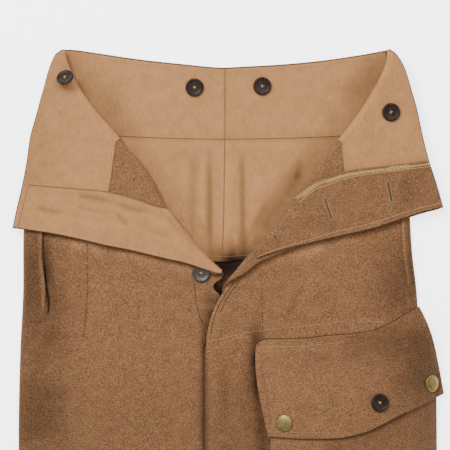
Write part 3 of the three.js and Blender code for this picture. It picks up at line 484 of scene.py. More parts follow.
# Each front: its fold's ends, what the fold and the leaf's edges do along it, and the edge below its end, in
# rows of down and across. frontCreases lie below the turned-back leaf, leafCreases on it.
fronts = {
    "right": {
        "leg": legs["right"], "side": -1, "start": (-183.7, -2.2), "end": (-4.4, -250.8),
        "fold": [(0, 0.2), (14, 4.2), (37, 8.8), (68, 9.2), (109, 5.8), (133, 3.2), (156, 0.8),
                 (180, 2.8), (206, 6.8), (243, 7.4), (281, 3.6), (295, 0.6), (306.5, -2.6)],
        "waistEdge": [(0, 2.5), (1.5, 5.5), (4.5, 10.1), (11, 17.9), (22.5, 29.4), (39.6, 48), (56.7, 68.9),
                      (75.9, 88.2), (94.4, 109.2), (112.2, 131.4), (127, 149.5)],
        "flyEdge": [(127, 149.5), (134.3, 142.6), (156.3, 122.8), (198.3, 80.2), (220.8, 57),
                    (265, 20.1), (285, 7.6), (298, 3.6)],
        "flyBelow": [(250.8, -2.4), (252.5, -5), (255, -11), (259, -12.5), (263, -11), (268, -6),
                     (272, -3.5), (278, -3), (288, -7), (300, -12), (315, -19.4), (crotch, -24)],
        "overlapLift": -1.2, "legFrom": 292,
        "frontCreases": [
            (-198, -205, -196, -330, 0, 26, 0, -0.30),
            (-199, -196, -196, -268, 0, 7, 0, -0.42),
            (-214, -205, -214, -290, 0, 9, 0, -0.16),
            (-192, -300, -188, -345, 0, 30, 0, -0.18),
            (-178, -205, -120, -217, 0, 9, 0, 0.55),
            (-132, -214, -66, -231, 0, 9, 0, 0.36),
            (-66, -229, -20, -243, 0, 9, 0, 0.34),
            (-15.4, -265, -17, -280, 0, 7, 0, -0.40),
            (-17, -280, -24, -307, 0, 7, 0, -0.36),
            (-198, -350, -200, -440, 0, 26, 0, -0.38),
            (-197, -440, -200, -1040, 0, 24, 0, -0.16),
            (-166, -232, -170, -300, 0, 10, 0, -0.08),
            (-1, -266, -10, -281, 0, 4.5, 0, -0.50),
            (-10, -281, -17, -297, 0, 4.5, 0, -0.45),
            (-17, -297, -21.5, -315, 0, 4.5, 0, -0.45),
            (-21.5, -315, -23, -336, 0, 4.5, 0, -0.45),
            (-23, -336, -24, -440, 0, 6, 0, -0.20),
            (-36, -250, -40, -262, 0, 8, 0, -0.12),
            (-10, -256, -7, -262, 0, 4, -0.5, -0.75),
            (-184.8, -255.2, -184.8, -298.1, 0, 8, -1.3, -0.10),
            (-166.1, -232.1, -167.2, -284.9, 0, 9, 1, 0.05),
            (-151.2, -207.9, -151.8, -273.9, 0, 1.8, -0.7, -0.15),
            (-151.8, -273.9, -154.6, -313.5, 0, 1.8, -0.7, -0.14),
            (-133.1, -207.9, -123.2, -240.9, 0, 8, -1.3, -0.08),
            (-82.5, -276.1, -31.9, -298.1, 0, 7, 0.9, 0.04),
            (-62.7, -298.1, -24.2, -311.3, 0, 5, -1, -0.07),
            (-137.5, -323.4, -27.5, -323.4, 0, 4, 0.5, 0.03),
            (-181.5, -295.9, -210.1, -359.7, 0, 7, -0.9, -0.07),
            (-195.8, -304.7, -212.3, -331.1, 0, 5, 0.6, 0.04),
            (-179.3, -339.9, -174.9, -434.5, 0, 4, -0.7, -0.06),
            (-167.2, -361.9, -166.1, -434.5, 0, 5, 0.5, 0.03),
            (-137.5, -331.1, -140.8, -434.5, 0, 9, 0.6, 0.03),
            (-56.1, -328.9, -45.1, -434.5, 0, 8, 0.6, 0.03),
            (-71.5, -397.1, -68.2, -435.6, 0, 4, -0.5, -0.04),
            (-37.4, -342.1, -36.3, -435.6, 0, 5, 0.7, 0.04),
            (-106.7, -273.9, -115.5, -306.9, 0, 9, -0.6, -0.03),
            (-150, -440, -132, -760, 6, 9, 1.6, 0.04),
            (-92, -470, -104, -720, -5, 8, -1.4, -0.05),
            (-60, -560, -84, -980, 4, 10, 1.5, 0.03),
            (-196, -640, -120, -700, 3, 9, -1.2, -0.04),
            (-190, -760, -178, -1020, 2, 9, 1.3, 0.03),
            (-124, -800, -132, -1040, 0, 7, -1.3, -0.04),
        ],
        "leafCreases": [
            (-166, -160, -121, -167.2, -1, 3.2, -1.7, -0.30),
            (-121, -167.2, -77, -178.2, 2, 3.2, -1.6, -0.28),
            (-165, -171, -126.5, -179, 1, 2.0, -0.9, -0.13),
            (-209, -172.7, -176, -178.2, 1, 3.0, -1.2, -0.24),
            (-121, -178.2, -104.5, -193.6, 0, 3.0, -1.4, -0.28),
            (-102.3, -171.6, -47.3, -204.6, 0, 3.5, 0.9, 0.09),
            (-73.7, -171.6, -25.3, -222.2, 1, 2.2, -1.0, -0.16),
            (-93.5, -194.7, -55, -207.9, 0, 2.5, -0.9, -0.12),
            (-200, -60, -220, -165, 0, 30, 0, -0.13),
            (-188, -34, -192, -60, 0, 12, 0, -0.10),
            (-198, -165, -170.5, -163.9, 0, 4, 0.7, 0.04),
            (-181.5, -183.7, -115.5, -199.1, 0, 5, 0.8, 0.05),
            (-115.5, -188.1, -27.5, -224.4, 0, 5, 0.9, 0.05),
            (-165, -53.9, -159.5, -86.9, 0, 8, -0.5, -0.04),
            (-148.5, -97.9, -143, -141.9, 0, 8, 0.5, 0.03),
            (-190, -90, -196, -140, 0, 10, -0.4, -0.03),
        ],
    },
    "left": {
        "leg": legs["left"], "side": 1, "start": (183.9, -0.3), "end": (-1.1, -267.3),
        "fold": [(0, 0.8), (7, 5.2), (15, 8.6), (28, 11.4), (41, 12.8), (75, 14.4), (108, 12.7),
                 (131, 9.6), (162, 9.2), (192, 9.3), (226, 10.7), (245, 8.4), (265, 4.6), (280, 1.6),
                 (297, 0.2), (310, -1), (324.8, -2.2)],
        "waistEdge": [(0, 3), (1.4, 6.9), (4.1, 12.2), (10.4, 18.8), (21.9, 30.1), (39.3, 48.9), (57.8, 67.3),
                      (75.6, 87.4), (92.4, 110), (109, 131.5)],
        "flyEdge": [(109, 131.5), (116.1, 127.3), (143.6, 107.5), (171.5, 86.6), (200.6, 59.5), (223.6, 37),
                    (243.7, 23.6), (270.3, 11), (292.3, 6.2)],
        "flyBelow": [(267.3, -3.5), (280, -10.6), (296, -16.4), (313.5, -20), (crotch, -20.9)],
        "overlapLift": 2.5, "legFrom": 324,
        "frontCreases": [
            (33.5, -292, 36, -392, 0, 8, 0, -0.66),
            (41, -376, 41, -540, 0, 7, 0, -0.42),
            (33, -330, 34, -350, 0, 6, 0, -0.30),
            (36, -231, 66, -223, 0, 7, 0, 0.36),
            (66, -224, 116, -211, 0, 9, 0, 0.60),
            (116, -209, 150, -200, 0, 8, 0, 0.34),
            (150, -200, 198, -189, 0, 8, 0, 0.24),
            (8, -310, 8, -560, 0, 26, 0, -0.13),
            (154, -280, 203, -266, 0, 22, 0, -0.14),
            (190, -215, 194, -300, 0, 24, 0, -0.18),
            (1.5, -262, -8, -278, 0, 1.6, 0.3, 0.14),
            (-8, -278, -15.5, -296, 0, 1.6, 0.3, 0.14),
            (-15.5, -296, -20, -320, 0, 1.6, 0.3, 0.12),
            (0, -273.9, -12.1, -309.1, 0, 5, 1.2, 0.08),
            (24.2, -269.5, 20.9, -306.9, 0, 6, 0.9, 0.05),
            (40.7, -257.4, 40.7, -312.4, 0, 1.8, -0.7, -0.12),
            (93.5, -251.9, 67.1, -302.5, 2, 5, -1.4, -0.10),
            (137.5, -218.9, 73.7, -282.7, 0, 12, 1.2, 0.05),
            (-11, -331.1, -13.2, -435.6, 0, 4, 0.8, 0.05),
            (1.1, -331.1, 1.1, -435.6, 0, 4, -1.2, -0.10),
            (14.3, -324.5, 13.2, -435.6, 0, 5, 0.9, 0.05),
            (25.3, -339.9, 24.2, -435.6, 0, 3, -0.5, -0.04),
            (38, -340, 37, -440, 0, 6.5, -1.6, -0.16),
            (176, -199.1, 183.7, -276.1, 0, 24, -0.8, -0.10),
            (198, -199.1, 204.6, -276.1, 0, 8, 0, -0.12),
            (16, -440, 34, -760, 5, 8, 1.5, 0.04),
            (48, -600, 60, -900, -4, 9, -1.3, -0.04),
            (120, -600, 104, -940, 5, 10, 1.6, 0.03),
            (180, -640, 110, -720, -3, 9, -1.2, -0.04),
            (170, -760, 160, -1020, 0, 9, 1.3, 0.03),
            (70, -800, 82, -1040, 0, 8, 1.2, 0.03),
        ],
        "leafCreases": [
            (126.5, -207.9, 44, -238.7, -2, 3.5, 0.8, 0.08),
            (187, -150, 217, -158, 0, 24, 0, -0.22),
            (96, -176, 128, -198, 0, 14, 0, -0.05),
            (20, -236, 44, -216, 0, 9, 0, -0.12),
            (150, -176, 120, -190, 3, 5, 0.6, 0.06),
            (179.3, -130.9, 181.5, -152.9, 0, 4, -0.4, -0.05),
            (159.5, -64.9, 161.7, -108.9, 0, 6, -0.5, -0.03),
            (137.5, -114.4, 140, -128, 0, 8, 0.6, 0.05),
            (190, -70, 205, -110, 0, 8, 0.5, 0.03),
        ],
    },
}
for front in fronts.values():
    (x0, y0), (x1, y1) = front["start"], front["end"]
    front["total"] = math.hypot(x1 - x0, y1 - y0)
    front["run"] = ((x1 - x0) / front["total"], (y1 - y0) / front["total"])
    front["out"] = (-front["side"] * front["run"][1], front["side"] * front["run"][0])
    for key in ("fold", "waistEdge", "flyEdge", "flyBelow"):
        front[key + "At"] = curveThrough(front[key])


def foldPoint(front, along):
    (x0, y0), (rx, ry), (ox, oy) = front["start"], front["run"], front["out"]
    out = front["foldAt"](along)
    return x0 + rx * along + ox * out, y0 + ry * along + oy * out


def rollRadius(along):
    return garment["foldRadius"] + garment["cornerRoll"] * np.exp(-along / garment["cornerReach"])


def foldArc(along):
    return math.pi * rollRadius(along)


# The fronts swell beside their folds, and one lies over the other at the fly's foot.
frontCrownSizes = {"swell": 1.6, "swellWide": 32, "swellFade": 30, "footX": -10, "footDown": 290,
                   "footWide": 34, "footTall": 52}


def frontCrown(front, x, y):
    (x0, y0), (ox, oy) = front["start"], front["out"]
    sizes = frontCrownSizes
    fromFold = np.abs((x - x0) * ox + (y - y0) * oy)
    aboveFoot = y + sizes["footDown"]
    swell = sizes["swell"] * hump(fromFold / sizes["swellWide"]) * smooth(aboveFoot / sizes["swellFade"])
    overlap = (front["overlapLift"] * hump((x - sizes["footX"]) / sizes["footWide"])
               * hump(aboveFoot / sizes["footTall"]))
    return garment["frontOverBack"] + swell + overlap


# The slit of the right side pocket mouth: down, where it runs and half its width.
mouthSlit = {"rows": [(203, -200.4, 1.5), (225, -199.4, 1.3), (240, -198.2, 1.9), (257, -197, 2.2),
                      (270, -195, 2.6), (280, -194, 2.2), (293, -195, 1.2)],
             "deep": 2.3, "foot": 292.0, "footFade": 5, "sharp": 3.5}
slitX, slitHalf = curveThrough(mouthSlit["rows"]), curveThrough(mouthSlit["rows"], column=2)


def slitShare(x, y):
    within = smooth((mouthSlit["foot"] + y) / mouthSlit["footFade"])
    return within * np.exp(-np.abs((x - slitX(-y)) / slitHalf(-y)) ** mouthSlit["sharp"])


# Mid-wall height of a front, with or without its creases.
def frontPlain(front, x, y, creased=False):
    leg = front["leg"]
    outside, inside = leg["outerX"](-y), leg["innerX"](-y)
    legShare = smooth((-y - front["legFrom"]) / garment["legFade"])
    inward = inside - x if front["side"] < 0 else x - inside
    rise = quarterRound(np.abs(outside - x) / garment["sideRound"]) * mix(
        1, quarterRound(inward / garment["sideRound"]), legShare)
    crown = frontCrown(front, x, y)
    if creased:
        crown = crown + creaseLift(front["frontCreases"], x, y)
        if front["side"] < 0:
            crown = crown - mouthSlit["deep"] * slitShare(x, y)
    return mix(frontAtSeam, crown, rise)


def frontHeight(front, x, y):
    return frontPlain(front, x, y, True)


# Where the leaf hangs over the side seam it droops; near the fold its creases fade out.
leafHang = {"droop": 0.12, "ease": 25, "creaseFrom": 15}


# A point of the turned-back leaf: along the fold, cut past it in the flat cloth, and off from the mid-wall
# towards the garment's inside.
def onLeaf(front, along, cut, off):
    along, cut, off = np.broadcast_arrays(*(np.asarray(v, float) for v in (along, cut, off)))
    atX, atY = foldPoint(front, along)
    ox, oy = front["out"]
    radius = rollRadius(along)
    low = frontHeight(front, atX - front["side"] * garment["foldInset"], atY)
    turn = np.clip(cut / radius, 0, math.pi)
    reach = radius + off
    past = np.maximum(cut - math.pi * radius, 0)
    bending = cut <= math.pi * radius
    slide = np.where(bending, -reach * np.sin(turn), past)
    x, y = atX + ox * slide, atY + oy * slide
    outside = front["leg"]["outerX"](-y)
    overhang = np.maximum(0, (x - outside) * front["side"])
    droop = leafHang["droop"] * overhang ** 2 / (overhang + leafHang["ease"])
    resting = frontCrown(front, x, y) + garment["leafGap"] - droop
    resting = resting + creaseLift(front["leafCreases"], x, y) * smooth(past / leafHang["creaseFrom"])
    flat = mix(resting, low + 2 * radius, np.exp(-past / garment["settle"])) + off
    z = np.where(bending, low + radius - reach * np.cos(turn), flat)
    return np.stack([x, y, z], -1)


# How far the leaf goes in the flat cut; past the last row of its fly edge it closes to a point.
def leafReach(front, along):
    corner, lastAlong, lastPast = front["flyEdge"][0][0], front["flyEdge"][-1][0], front["flyEdge"][-1][1]
    left = np.clip((front["total"] - along) / (front["total"] - lastAlong), 0, 1)
    closing = (lastPast + foldArc(along)) * left ** garment["tipCurve"]
    edge = np.where(along < corner, front["waistEdgeAt"](along), front["flyEdgeAt"](along))
    return np.where(along > lastAlong, closing, foldArc(along) + edge)


# Where a point of the leaf lies in the flat cut.
def leafCut(front, along, cut):
    x, y = foldPoint(front, along)
    return np.stack([x - front["out"][0] * cut, y - front["out"][1] * cut], -1)


frontGrid = {
    "alongStep": 2.8, "downStep": 3.0, "legStep": 13.0, "fineDown": 450, "bodyColumns": 58, "bendColumns": 9,
    "leafColumns": 44, "sideSteps": (0, 0.16, 0.5, 1.2, 2.2, 3.6, 5.6, 8), "slitShares": (0.088, 0.168),
    "slitColumns": 24,
}
# Painted shade on a front: darker beside the side seam, along the inner leg edge, at the leaf's cut edge,
# down the lower leg and in the side pocket's slit.
frontShade = {
    "side": 0.80, "sideWide": 26.0, "inner": 0.35, "innerWide": 3.5, "cutEdge": 0.4, "cutEdgeWide": 2.2,
    "lower": 0.10, "lowerFrom": 330, "lowerFade": 70, "slit": 0.86,
}


def frontShading(front, x, y):
    leg = front["leg"]
    fromSide = np.abs(leg["outerX"](-y) - x)
    inward = np.abs(leg["innerX"](-y) - x)
    legShare = smooth((-y - front["legFrom"]) / garment["legFade"])
    look = frontShade
    sideShade = 1 - (1 - look["side"]) * hump(fromSide / look["sideWide"])
    innerShade = 1 - look["inner"] * hump(inward / look["innerWide"]) * legShare
    lower = 1 - look["lower"] * smooth((-y - look["lowerFrom"]) / look["lowerFade"])
    slit = 1 - look["slit"] * slitShare(x, y) if front["side"] < 0 else 1
    return creaseShading(front["frontCreases"], x, y) * sideShade * innerShade * lower * slit


def layFront(name):
    front = fronts[name]
    half = wool / 2
    corner = front["flyEdge"][0][0]
    ends = evenly(0, front["total"], frontGrid["alongStep"])
    alongs = np.unique(np.concatenate([rimSteps, ends[ends > 2], [corner]]))
    below = evenly(-front["end"][1], frontGrid["fineDown"], frontGrid["downStep"])[1:]
    lower = evenly(frontGrid["fineDown"], length, frontGrid["legStep"])[1:-1]
    downs = np.concatenate([below, lower, (length - rimSteps)[::-1]])
    _, foldYs = foldPoint(front, alongs)
    ys = np.concatenate([foldYs, -downs])
    isFold = np.arange(len(ys)) < len(alongs)
    fullAlong = np.concatenate([alongs, np.full(len(downs), front["total"])])
    foldX, _ = foldPoint(front, fullAlong)
    outside = front["leg"]["outerX"](-ys)
    lowerInside = np.where(-ys < crotch, front["flyBelowAt"](-ys), front["leg"]["innerX"](-ys))
    inside = np.where(isFold, foldX, lowerInside)
    wide = np.abs(inside - outside)
    reach = np.where(isFold, leafReach(front, fullAlong), 0)
    sideShares = np.array(frontGrid["sideSteps"]) / 200
    slit = np.linspace(*frontGrid["slitShares"], frontGrid["slitColumns"]) if name == "right" else []
    shares = np.concatenate([sideShares, np.linspace(0.04, 0.96, frontGrid["bodyColumns"] + 1)[1:-1],
                             1 - sideShares[::-1], slit])
    shares = np.unique(np.round(shares, 5))
    d = shares[None, :] * wide[:, None]
    x = outside[:, None] - front["side"] * d
    y = np.broadcast_to(ys[:, None], x.shape)
    fromEnd = np.where(isFold, fullAlong, length + ys)[:, None]
    rim = rimShare(np.minimum(np.minimum(d, wide[:, None] - d + reach[:, None]), fromEnd), wool)
    heightAt = lambda px, py: frontHeight(front, px, py)
    bodyUnder = faced(heightAt, x, y, -half * rim)
    bodyOver = faced(heightAt, x, y, half * rim)
    bodyCut = np.stack([x, y], -1)
    bodyShading = frontShading(front, x, y)
    # The leaf: round the bend, then flat out to the waist edge or the fly edge.
    arc = np.minimum(foldArc(fullAlong), reach)
    bend = np.linspace(0, 1, frontGrid["bendColumns"] + 1)[1:]
    flat = np.linspace(0, 1, frontGrid["leafColumns"] + 1)[1:-1]
    flatLong = np.maximum(reach - arc, 0)
    cutBend = arc[:, None] * bend[None, :]
    rimBack = rimSteps[::-1][None, :]
    nearRim = flatLong[:, None] - np.minimum(rimBack, flatLong[:, None] * rimBack / 3)
    cutFlat = arc[:, None] + np.concatenate([flatLong[:, None] * flat[None, :] * 0.985, nearRim], 1)
    cut = np.concatenate([cutBend, np.maximum.accumulate(cutFlat, 1)], 1)
    alongGrid = np.broadcast_to(fullAlong[:, None], cut.shape)
    leafRim = rimShare(np.minimum(reach[:, None] - cut, np.where(isFold, fullAlong, 1e3)[:, None]), wool)
    leafUnder = onLeaf(front, alongGrid, cut, half * leafRim)
    leafOver = onLeaf(front, alongGrid, cut, -half * leafRim)
    cutEdge = 1 - frontShade["cutEdge"] * hump((reach[:, None] - cut) / frontShade["cutEdgeWide"])
    leafShading = creaseShading(front["leafCreases"], leafUnder[..., 0], leafUnder[..., 1]) * cutEdge
    # Below the fold a row has no leaf, so its last point stands for all of them.
    for part, body in ((leafUnder, bodyUnder), (leafOver, bodyOver)):
        part[~isFold] = body[~isFold][:, -1:, :]
    cutMap = leafCut(front, alongGrid, cut)
    cutMap[~isFold] = bodyCut[~isFold][:, -1:, :]
    leafShading[~isFold] = bodyShading[~isFold][:, -1:]
    joined = [np.concatenate(pair, 1) for pair in
              ((bodyUnder, leafUnder), (bodyOver, leafOver), (bodyCut, cutMap), (bodyShading, leafShading))]
    return makeShell(f"frontCloth_{name}", *joined, woolCloth, "serge")


frontPieces = {name: layFront(name) for name in fronts}
print("fronts laid")


backLook = {
    "steps": ((0, 120, 6), (120, crotch, 5), (crotch, length, 12)), "columns": 34, "waistFade": 150,
    "seamLean": {"right": (0.25, -0.25), "left": (0.2, -0.2)},
    "legLean": {"right": (0.35, -0.35), "left": (0.0, -0.55)}, "leanWide": 1.5,
    # The fly's opening, down from openFrom to openTo, with the fronts' touching edges bridging it.
    "openDark": 0.045, "openFrom": 214, "openTo": 300, "openFade": (12, 14), "openX": -2, "openWide": 60,
    "bridge": 0.42, "bridgeDown": 252, "bridgeWide": 5.5, "edgeShade": 0.45, "edgeShadeWide": 2.5,
}


# A back half; the bit that shows through the fly's opening is painted dark, as the shade deep inside, and its
# waist edge is painted darker too.
def layBack(name):
    leg, side = legs[name], fronts[name]["side"]
    downs = withRims(np.unique(np.concatenate([evenly(*step) for step in backLook["steps"]])))
    seamSide = seamX(np.minimum(downs, crotch)) + side * seam / 2
    legSide = leg["innerX"](downs) - side * wool / 2
    inside = mix(seamSide, legSide, smooth((downs - crotch + 2) / 6))
    cutIn = garment["cornerInset"] * (1 - np.clip(downs / garment["cornerOver"], 0, 1)) ** 3
    outside = leg["outerX"](downs) + side * (wool / 2 - cutIn)
    shares = withRims(np.linspace(0, 200, backLook["columns"])) / 200
    x = mix(outside[:, None], inside[:, None], shares[None, :])
    y = -downs[:, None] + waistY(x) * (1 - smooth(downs[:, None] / backLook["waistFade"]))
    width = np.abs(inside - outside)[:, None]
    rim = rimShare(np.minimum(shares[None, :] * width, np.minimum(downs, length - downs)[:, None]), wool)
    # The two halves' inner edges lean to the right, so that the gap between them shows no light.
    atSeam, atLeg = (np.array(backLook[key][name])[:, None, None] for key in ("seamLean", "legLean"))
    lean = mix(atSeam, atLeg, smooth((downs - crotch) / 8)[:, None])
    lean = lean * hump((1 - shares)[None, :] * width / backLook["leanWide"])
    lean = lean * smooth((length - downs) / 3)[:, None]
    under = np.stack([x + lean[0], y, wool / 2 * (1 - rim)], -1)
    over = np.stack([x + lean[1], y, wool / 2 * (1 + rim)], -1)
    look = backLook
    fadeIn, fadeOut = look["openFade"]
    dark = smooth((-y - look["openFrom"]) / fadeIn) * smooth((look["openTo"] + y) / fadeOut)
    dark = dark * hump((x - look["openX"]) / look["openWide"])
    dark = dark * (1 - look["bridge"] * hump((y + look["bridgeDown"]) / look["bridgeWide"]))
    paintedShading = 1 - (1 - look["openDark"]) * dark
    paintedShading = paintedShading * (1 - look["edgeShade"] * hump(downs[:, None] / look["edgeShadeWide"]))
    return makeShell(f"backCloth_{name}", under, over, np.stack([x, y], -1), paintedShading, woolCloth, "serge")


backPieces = {name: layBack(name) for name in fronts}
print("backs laid")


# Keeps a piece's own folds inside the opening between the two turned-back fronts.
def openingShare(x, y, fade=14):
    def chordX(front):
        t = (y - front["start"][1]) / (front["end"][1] - front["start"][1])
        return mix(front["start"][0], front["end"][0], t)

    pastRight = x - chordX(fronts["right"]) - fade
    beforeLeft = chordX(fronts["left"]) - fade - x
    return smooth(pastRight / fade) * smooth(beforeLeft / fade)


waistLining = {
    "creases": [
        (-2, -74, 9, -83, 0, 2.5, 0.6, -0.05),
        (-108, -24, -60, -26, 0, 3, 0.4, 0.03),
        (-70, -40, -30, -62, 0, 6, 0.5, 0.02),
        (60, -70, 92, -52, 0, 7, 0.5, 0.02),
        (-120, -60, -96, -88, 0, 8, 0.4, -0.03),
        (20, -30, 30, -60, 0, 8, 0.4, 0.02),
        (176, -4, 140, -62, 0, 17, 0, -0.22),
        (-132, -26, -112, -78, 0, 14, 0, -0.14),
    ],
    "foldShade": {"right": -0.26, "left": -0.20}, "foldShadeWide": 17.0, "seamShade": 0.10, "sideInset": 9,
    "wide": 180, "stepDown": 2.6, "columns": 66,
}


def backLiningPlan(side, leg, down, u):
    t = (down - garment["edgeInset"]) / (garment["liningDeep"] - garment["edgeInset"])
    outside = leg["outerX"](down) - side * waistLining["sideInset"]
    x = mix(outside, side * seam / 2, u)
    y = -down + waistY(x) * mix(1, 0.1, t) - garment["waistSag"] * (1 - (x / garment["waistHalf"]) ** 2) * t
    return x, y


def backLiningHeight(x, y):
    return onBack + drill / 2 + openingShare(x, y) * np.maximum(creaseLift(waistLining["creases"], x, y), 0)


# The shade that the two folds throw on what lies between them, painted into the colour.
def nearFoldShade(x, y, amount, wide):
    total = np.zeros(np.broadcast(x, y).shape)
    for name, front in fronts.items():
        (x0, y0), (ox, oy) = front["start"], front["out"]
        inner = -((x - x0) * ox + (y - y0) * oy)
        total = total + amount[name] * hump(np.maximum(inner - 4, 0) / wide)
    return total


def layBackLining(name):
    leg, side, wide = legs[name], fronts[name]["side"], waistLining["wide"]
    downs = withRims(evenly(garment["edgeInset"], garment["liningDeep"], waistLining["stepDown"]))
    shares = withRims(np.linspace(0, wide, waistLining["columns"])) / wide
    down, u = np.meshgrid(downs, shares, indexing="ij")
    x, y = backLiningPlan(side, leg, down, u)
    edge = np.minimum(np.minimum(down - downs[0], downs[-1] - down), np.minimum(u, 1 - u) * wide)
    rim = rimShare(edge, drill)
    under = faced(backLiningHeight, x, y, -drill / 2 * rim)
    over = faced(backLiningHeight, x, y, drill / 2 * rim)
    paintedShading = creaseShading(waistLining["creases"], x, y)
    paintedShading = paintedShading + nearFoldShade(x, y, waistLining["foldShade"], waistLining["foldShadeWide"])
    paintedShading = paintedShading * (1 - waistLining["seamShade"] * hump((u - 1) * wide / garment["cutEdge"]))
    return makeShell(f"backLining_{name}", under, over, np.stack([x, y], -1), paintedShading, drillCloth, "drill")


backLinings = {name: layBackLining(name) for name in fronts}

seatLining = {
    "folds": [(-45, 1.6, 9), (-22, 2.8, 5.5), (4, 3, 9), (38, 2.6, 10)],
    "creases": [
        (-23.5, -112, -27, -212, 0, 4, 1.3, 0.13),
        (-16.5, -112, -15.5, -224, 0, 3.2, -1.7, -0.40),
        (-3, -224, 22, -236, 0, 8, 0, -0.16),
        (-60, -205, -30, -214, 0, 6, 0.5, 0.05),
        (12, -196, 14, -226, 0, 2.6, 1.0, 0.10),
        (27, -186, 30, -222, 0, 3.0, 1.0, 0.12),
        (4, -110, 4, -212, 0, 7, 0.6, 0.10),
        (19, -106, 20.5, -226, 0, 3.2, -1.7, -0.38),
        (38, -116, 34, -220, 0, 7, 0.6, 0.08),
        (-34, -106, -36, -206, 0, 5, -1.0, -0.20),
        (82.5, -118, 79, -144, 0, 4, -0.6, -0.24),
        (84, -128, 64, -164, 0, 8, 0, -0.20),
        (64, -160, 34, -200, 0, 9, 0, -0.20),
        (-46, -112, -46, -176, 0, 6, 0.7, 0.04),
        (-73.7, -125.4, -38.5, -103.4, 0, 3, 1.0, -0.10),
        (7.7, -97, 9, -112, 0, 3, 0.6, -0.05),
        (-101, -105, -96, -118, 0, 3, 0.5, -0.06),
        (-60, -104, -66, -180, 3, 8, 0.7, 0.03),
        (60, -110, 52, -190, 0, 7, 0.6, 0.03),
    ],
    "foldsFrom": 110, "foldsFade": 110, "creasesFrom": 92, "creasesFade": 12,
    "base": 1.3, "baseFrom": 98, "baseFade": 16,
    "topWide": 152, "footWide": 112, "footRise": 14, "sideCurve": 1.25,
    "foldShade": {"right": -0.14, "left": -0.28}, "foldShadeWide": 15.0, "seamShade": 0.10,
    "topShade": -0.18, "footShade": -0.60, "footShadeTall": 20, "footShadeX": 8, "footShadeWide": 32,
    "tall": 140, "wide": 130, "rows": 62, "columns": 78,
}


def seatHeight(x, y):
    down = -y
    toward = smooth((down - seatLining["foldsFrom"]) / seatLining["foldsFade"])
    centreX = seamX(down)
    folds = sum(lift * hump((x - centreX - at) / half) for at, lift, half in seatLining["folds"])
    fineShare = smooth((down - seatLining["creasesFrom"]) / seatLining["creasesFade"])
    fine = creaseLift(seatLining["creases"], x, y) * fineShare
    base = seatLining["base"] * smooth((down - seatLining["baseFrom"]) / seatLining["baseFade"])
    return onBack + drill / 2 + np.maximum(toward * folds + fine + base, 0) * openingShare(x, y)


def seatPlan(side, t, u):
    wide = mix(seatLining["topWide"], seatLining["footWide"], t)
    x0 = wide * side * (1 - u) ** seatLining["sideCurve"]
    sag = garment["waistSag"] * (1 - (x0 / garment["waistHalf"]) ** 2)
    topY = -garment["liningDeep"] + waistY(x0) * 0.1 - sag - seam
    y = mix(topY, -garment["seatLiningEnd"] + seatLining["footRise"] * (1 - u) ** 2, t)
    return x0 + (seamX(-y) + side * seam / 2) * u, y


def laySeatLining(name):
    look, tall, wide = seatLining, seatLining["tall"], seatLining["wide"]
    ts = withRims(np.linspace(0, tall, look["rows"])) / tall
    us = withRims(np.linspace(0, wide, look["columns"])) / wide
    t, u = np.meshgrid(ts, us, indexing="ij")
    x, y = seatPlan(fronts[name]["side"], t, u)
    rim = rimShare(np.minimum(np.minimum(t, 1 - t) * tall, np.minimum(u, 1 - u) * wide), drill)
    under = faced(seatHeight, x, y, -drill / 2 * rim)
    over = faced(seatHeight, x, y, drill / 2 * rim)
    paintedShading = creaseShading(look["creases"], x, y) + nearFoldShade(x, y, look["foldShade"], look["foldShadeWide"])
    atFoot = hump((1 - t) * tall / look["footShadeTall"])
    atFoot = atFoot * hump((x - look["footShadeX"]) / look["footShadeWide"])
    paintedShading = paintedShading + look["topShade"] * hump(t * tall / 2.5) + look["footShade"] * atFoot
    paintedShading = paintedShading * (1 - look["seamShade"] * hump((1 - u) * wide / garment["cutEdge"]))
    return makeShell(f"seatCloth_{name}", under, over, np.stack([x, y], -1), paintedShading, drillCloth, "drill")


seatPieces = {name: laySeatLining(name) for name in fronts}
print("linings laid")


leafLining = {
    "right": {"reachAtWaist": 112, "reachAtLower": 50, "deep": 117, "slope": 0.92},
    "left": {"reachAtWaist": 92, "reachAtLower": 29, "deep": 115, "slope": 1.05},
    "tall": 115, "wide": 105, "rows": 44, "columns": 40, "bendColumns": 8, "spread": 1.5,
    "footShade": 0.22, "footShadeWide": 1.5,
}


# How far along the fold a point of a leaf's waist lining lies, at a share t from the waist edge to its lower
# edge and so far past the fold.
def leafLiningAlong(name, t, past):
    front, sizes = fronts[name], leafLining[name]
    edge = curveThrough(front["waistEdge"], column=0, along=1)
    top = np.where(past <= front["waistEdge"][0][1], 0, edge(past))
    return mix(top + garment["leafInset"], sizes["deep"] + sizes["slope"] * past, t ** leafLining["spread"])


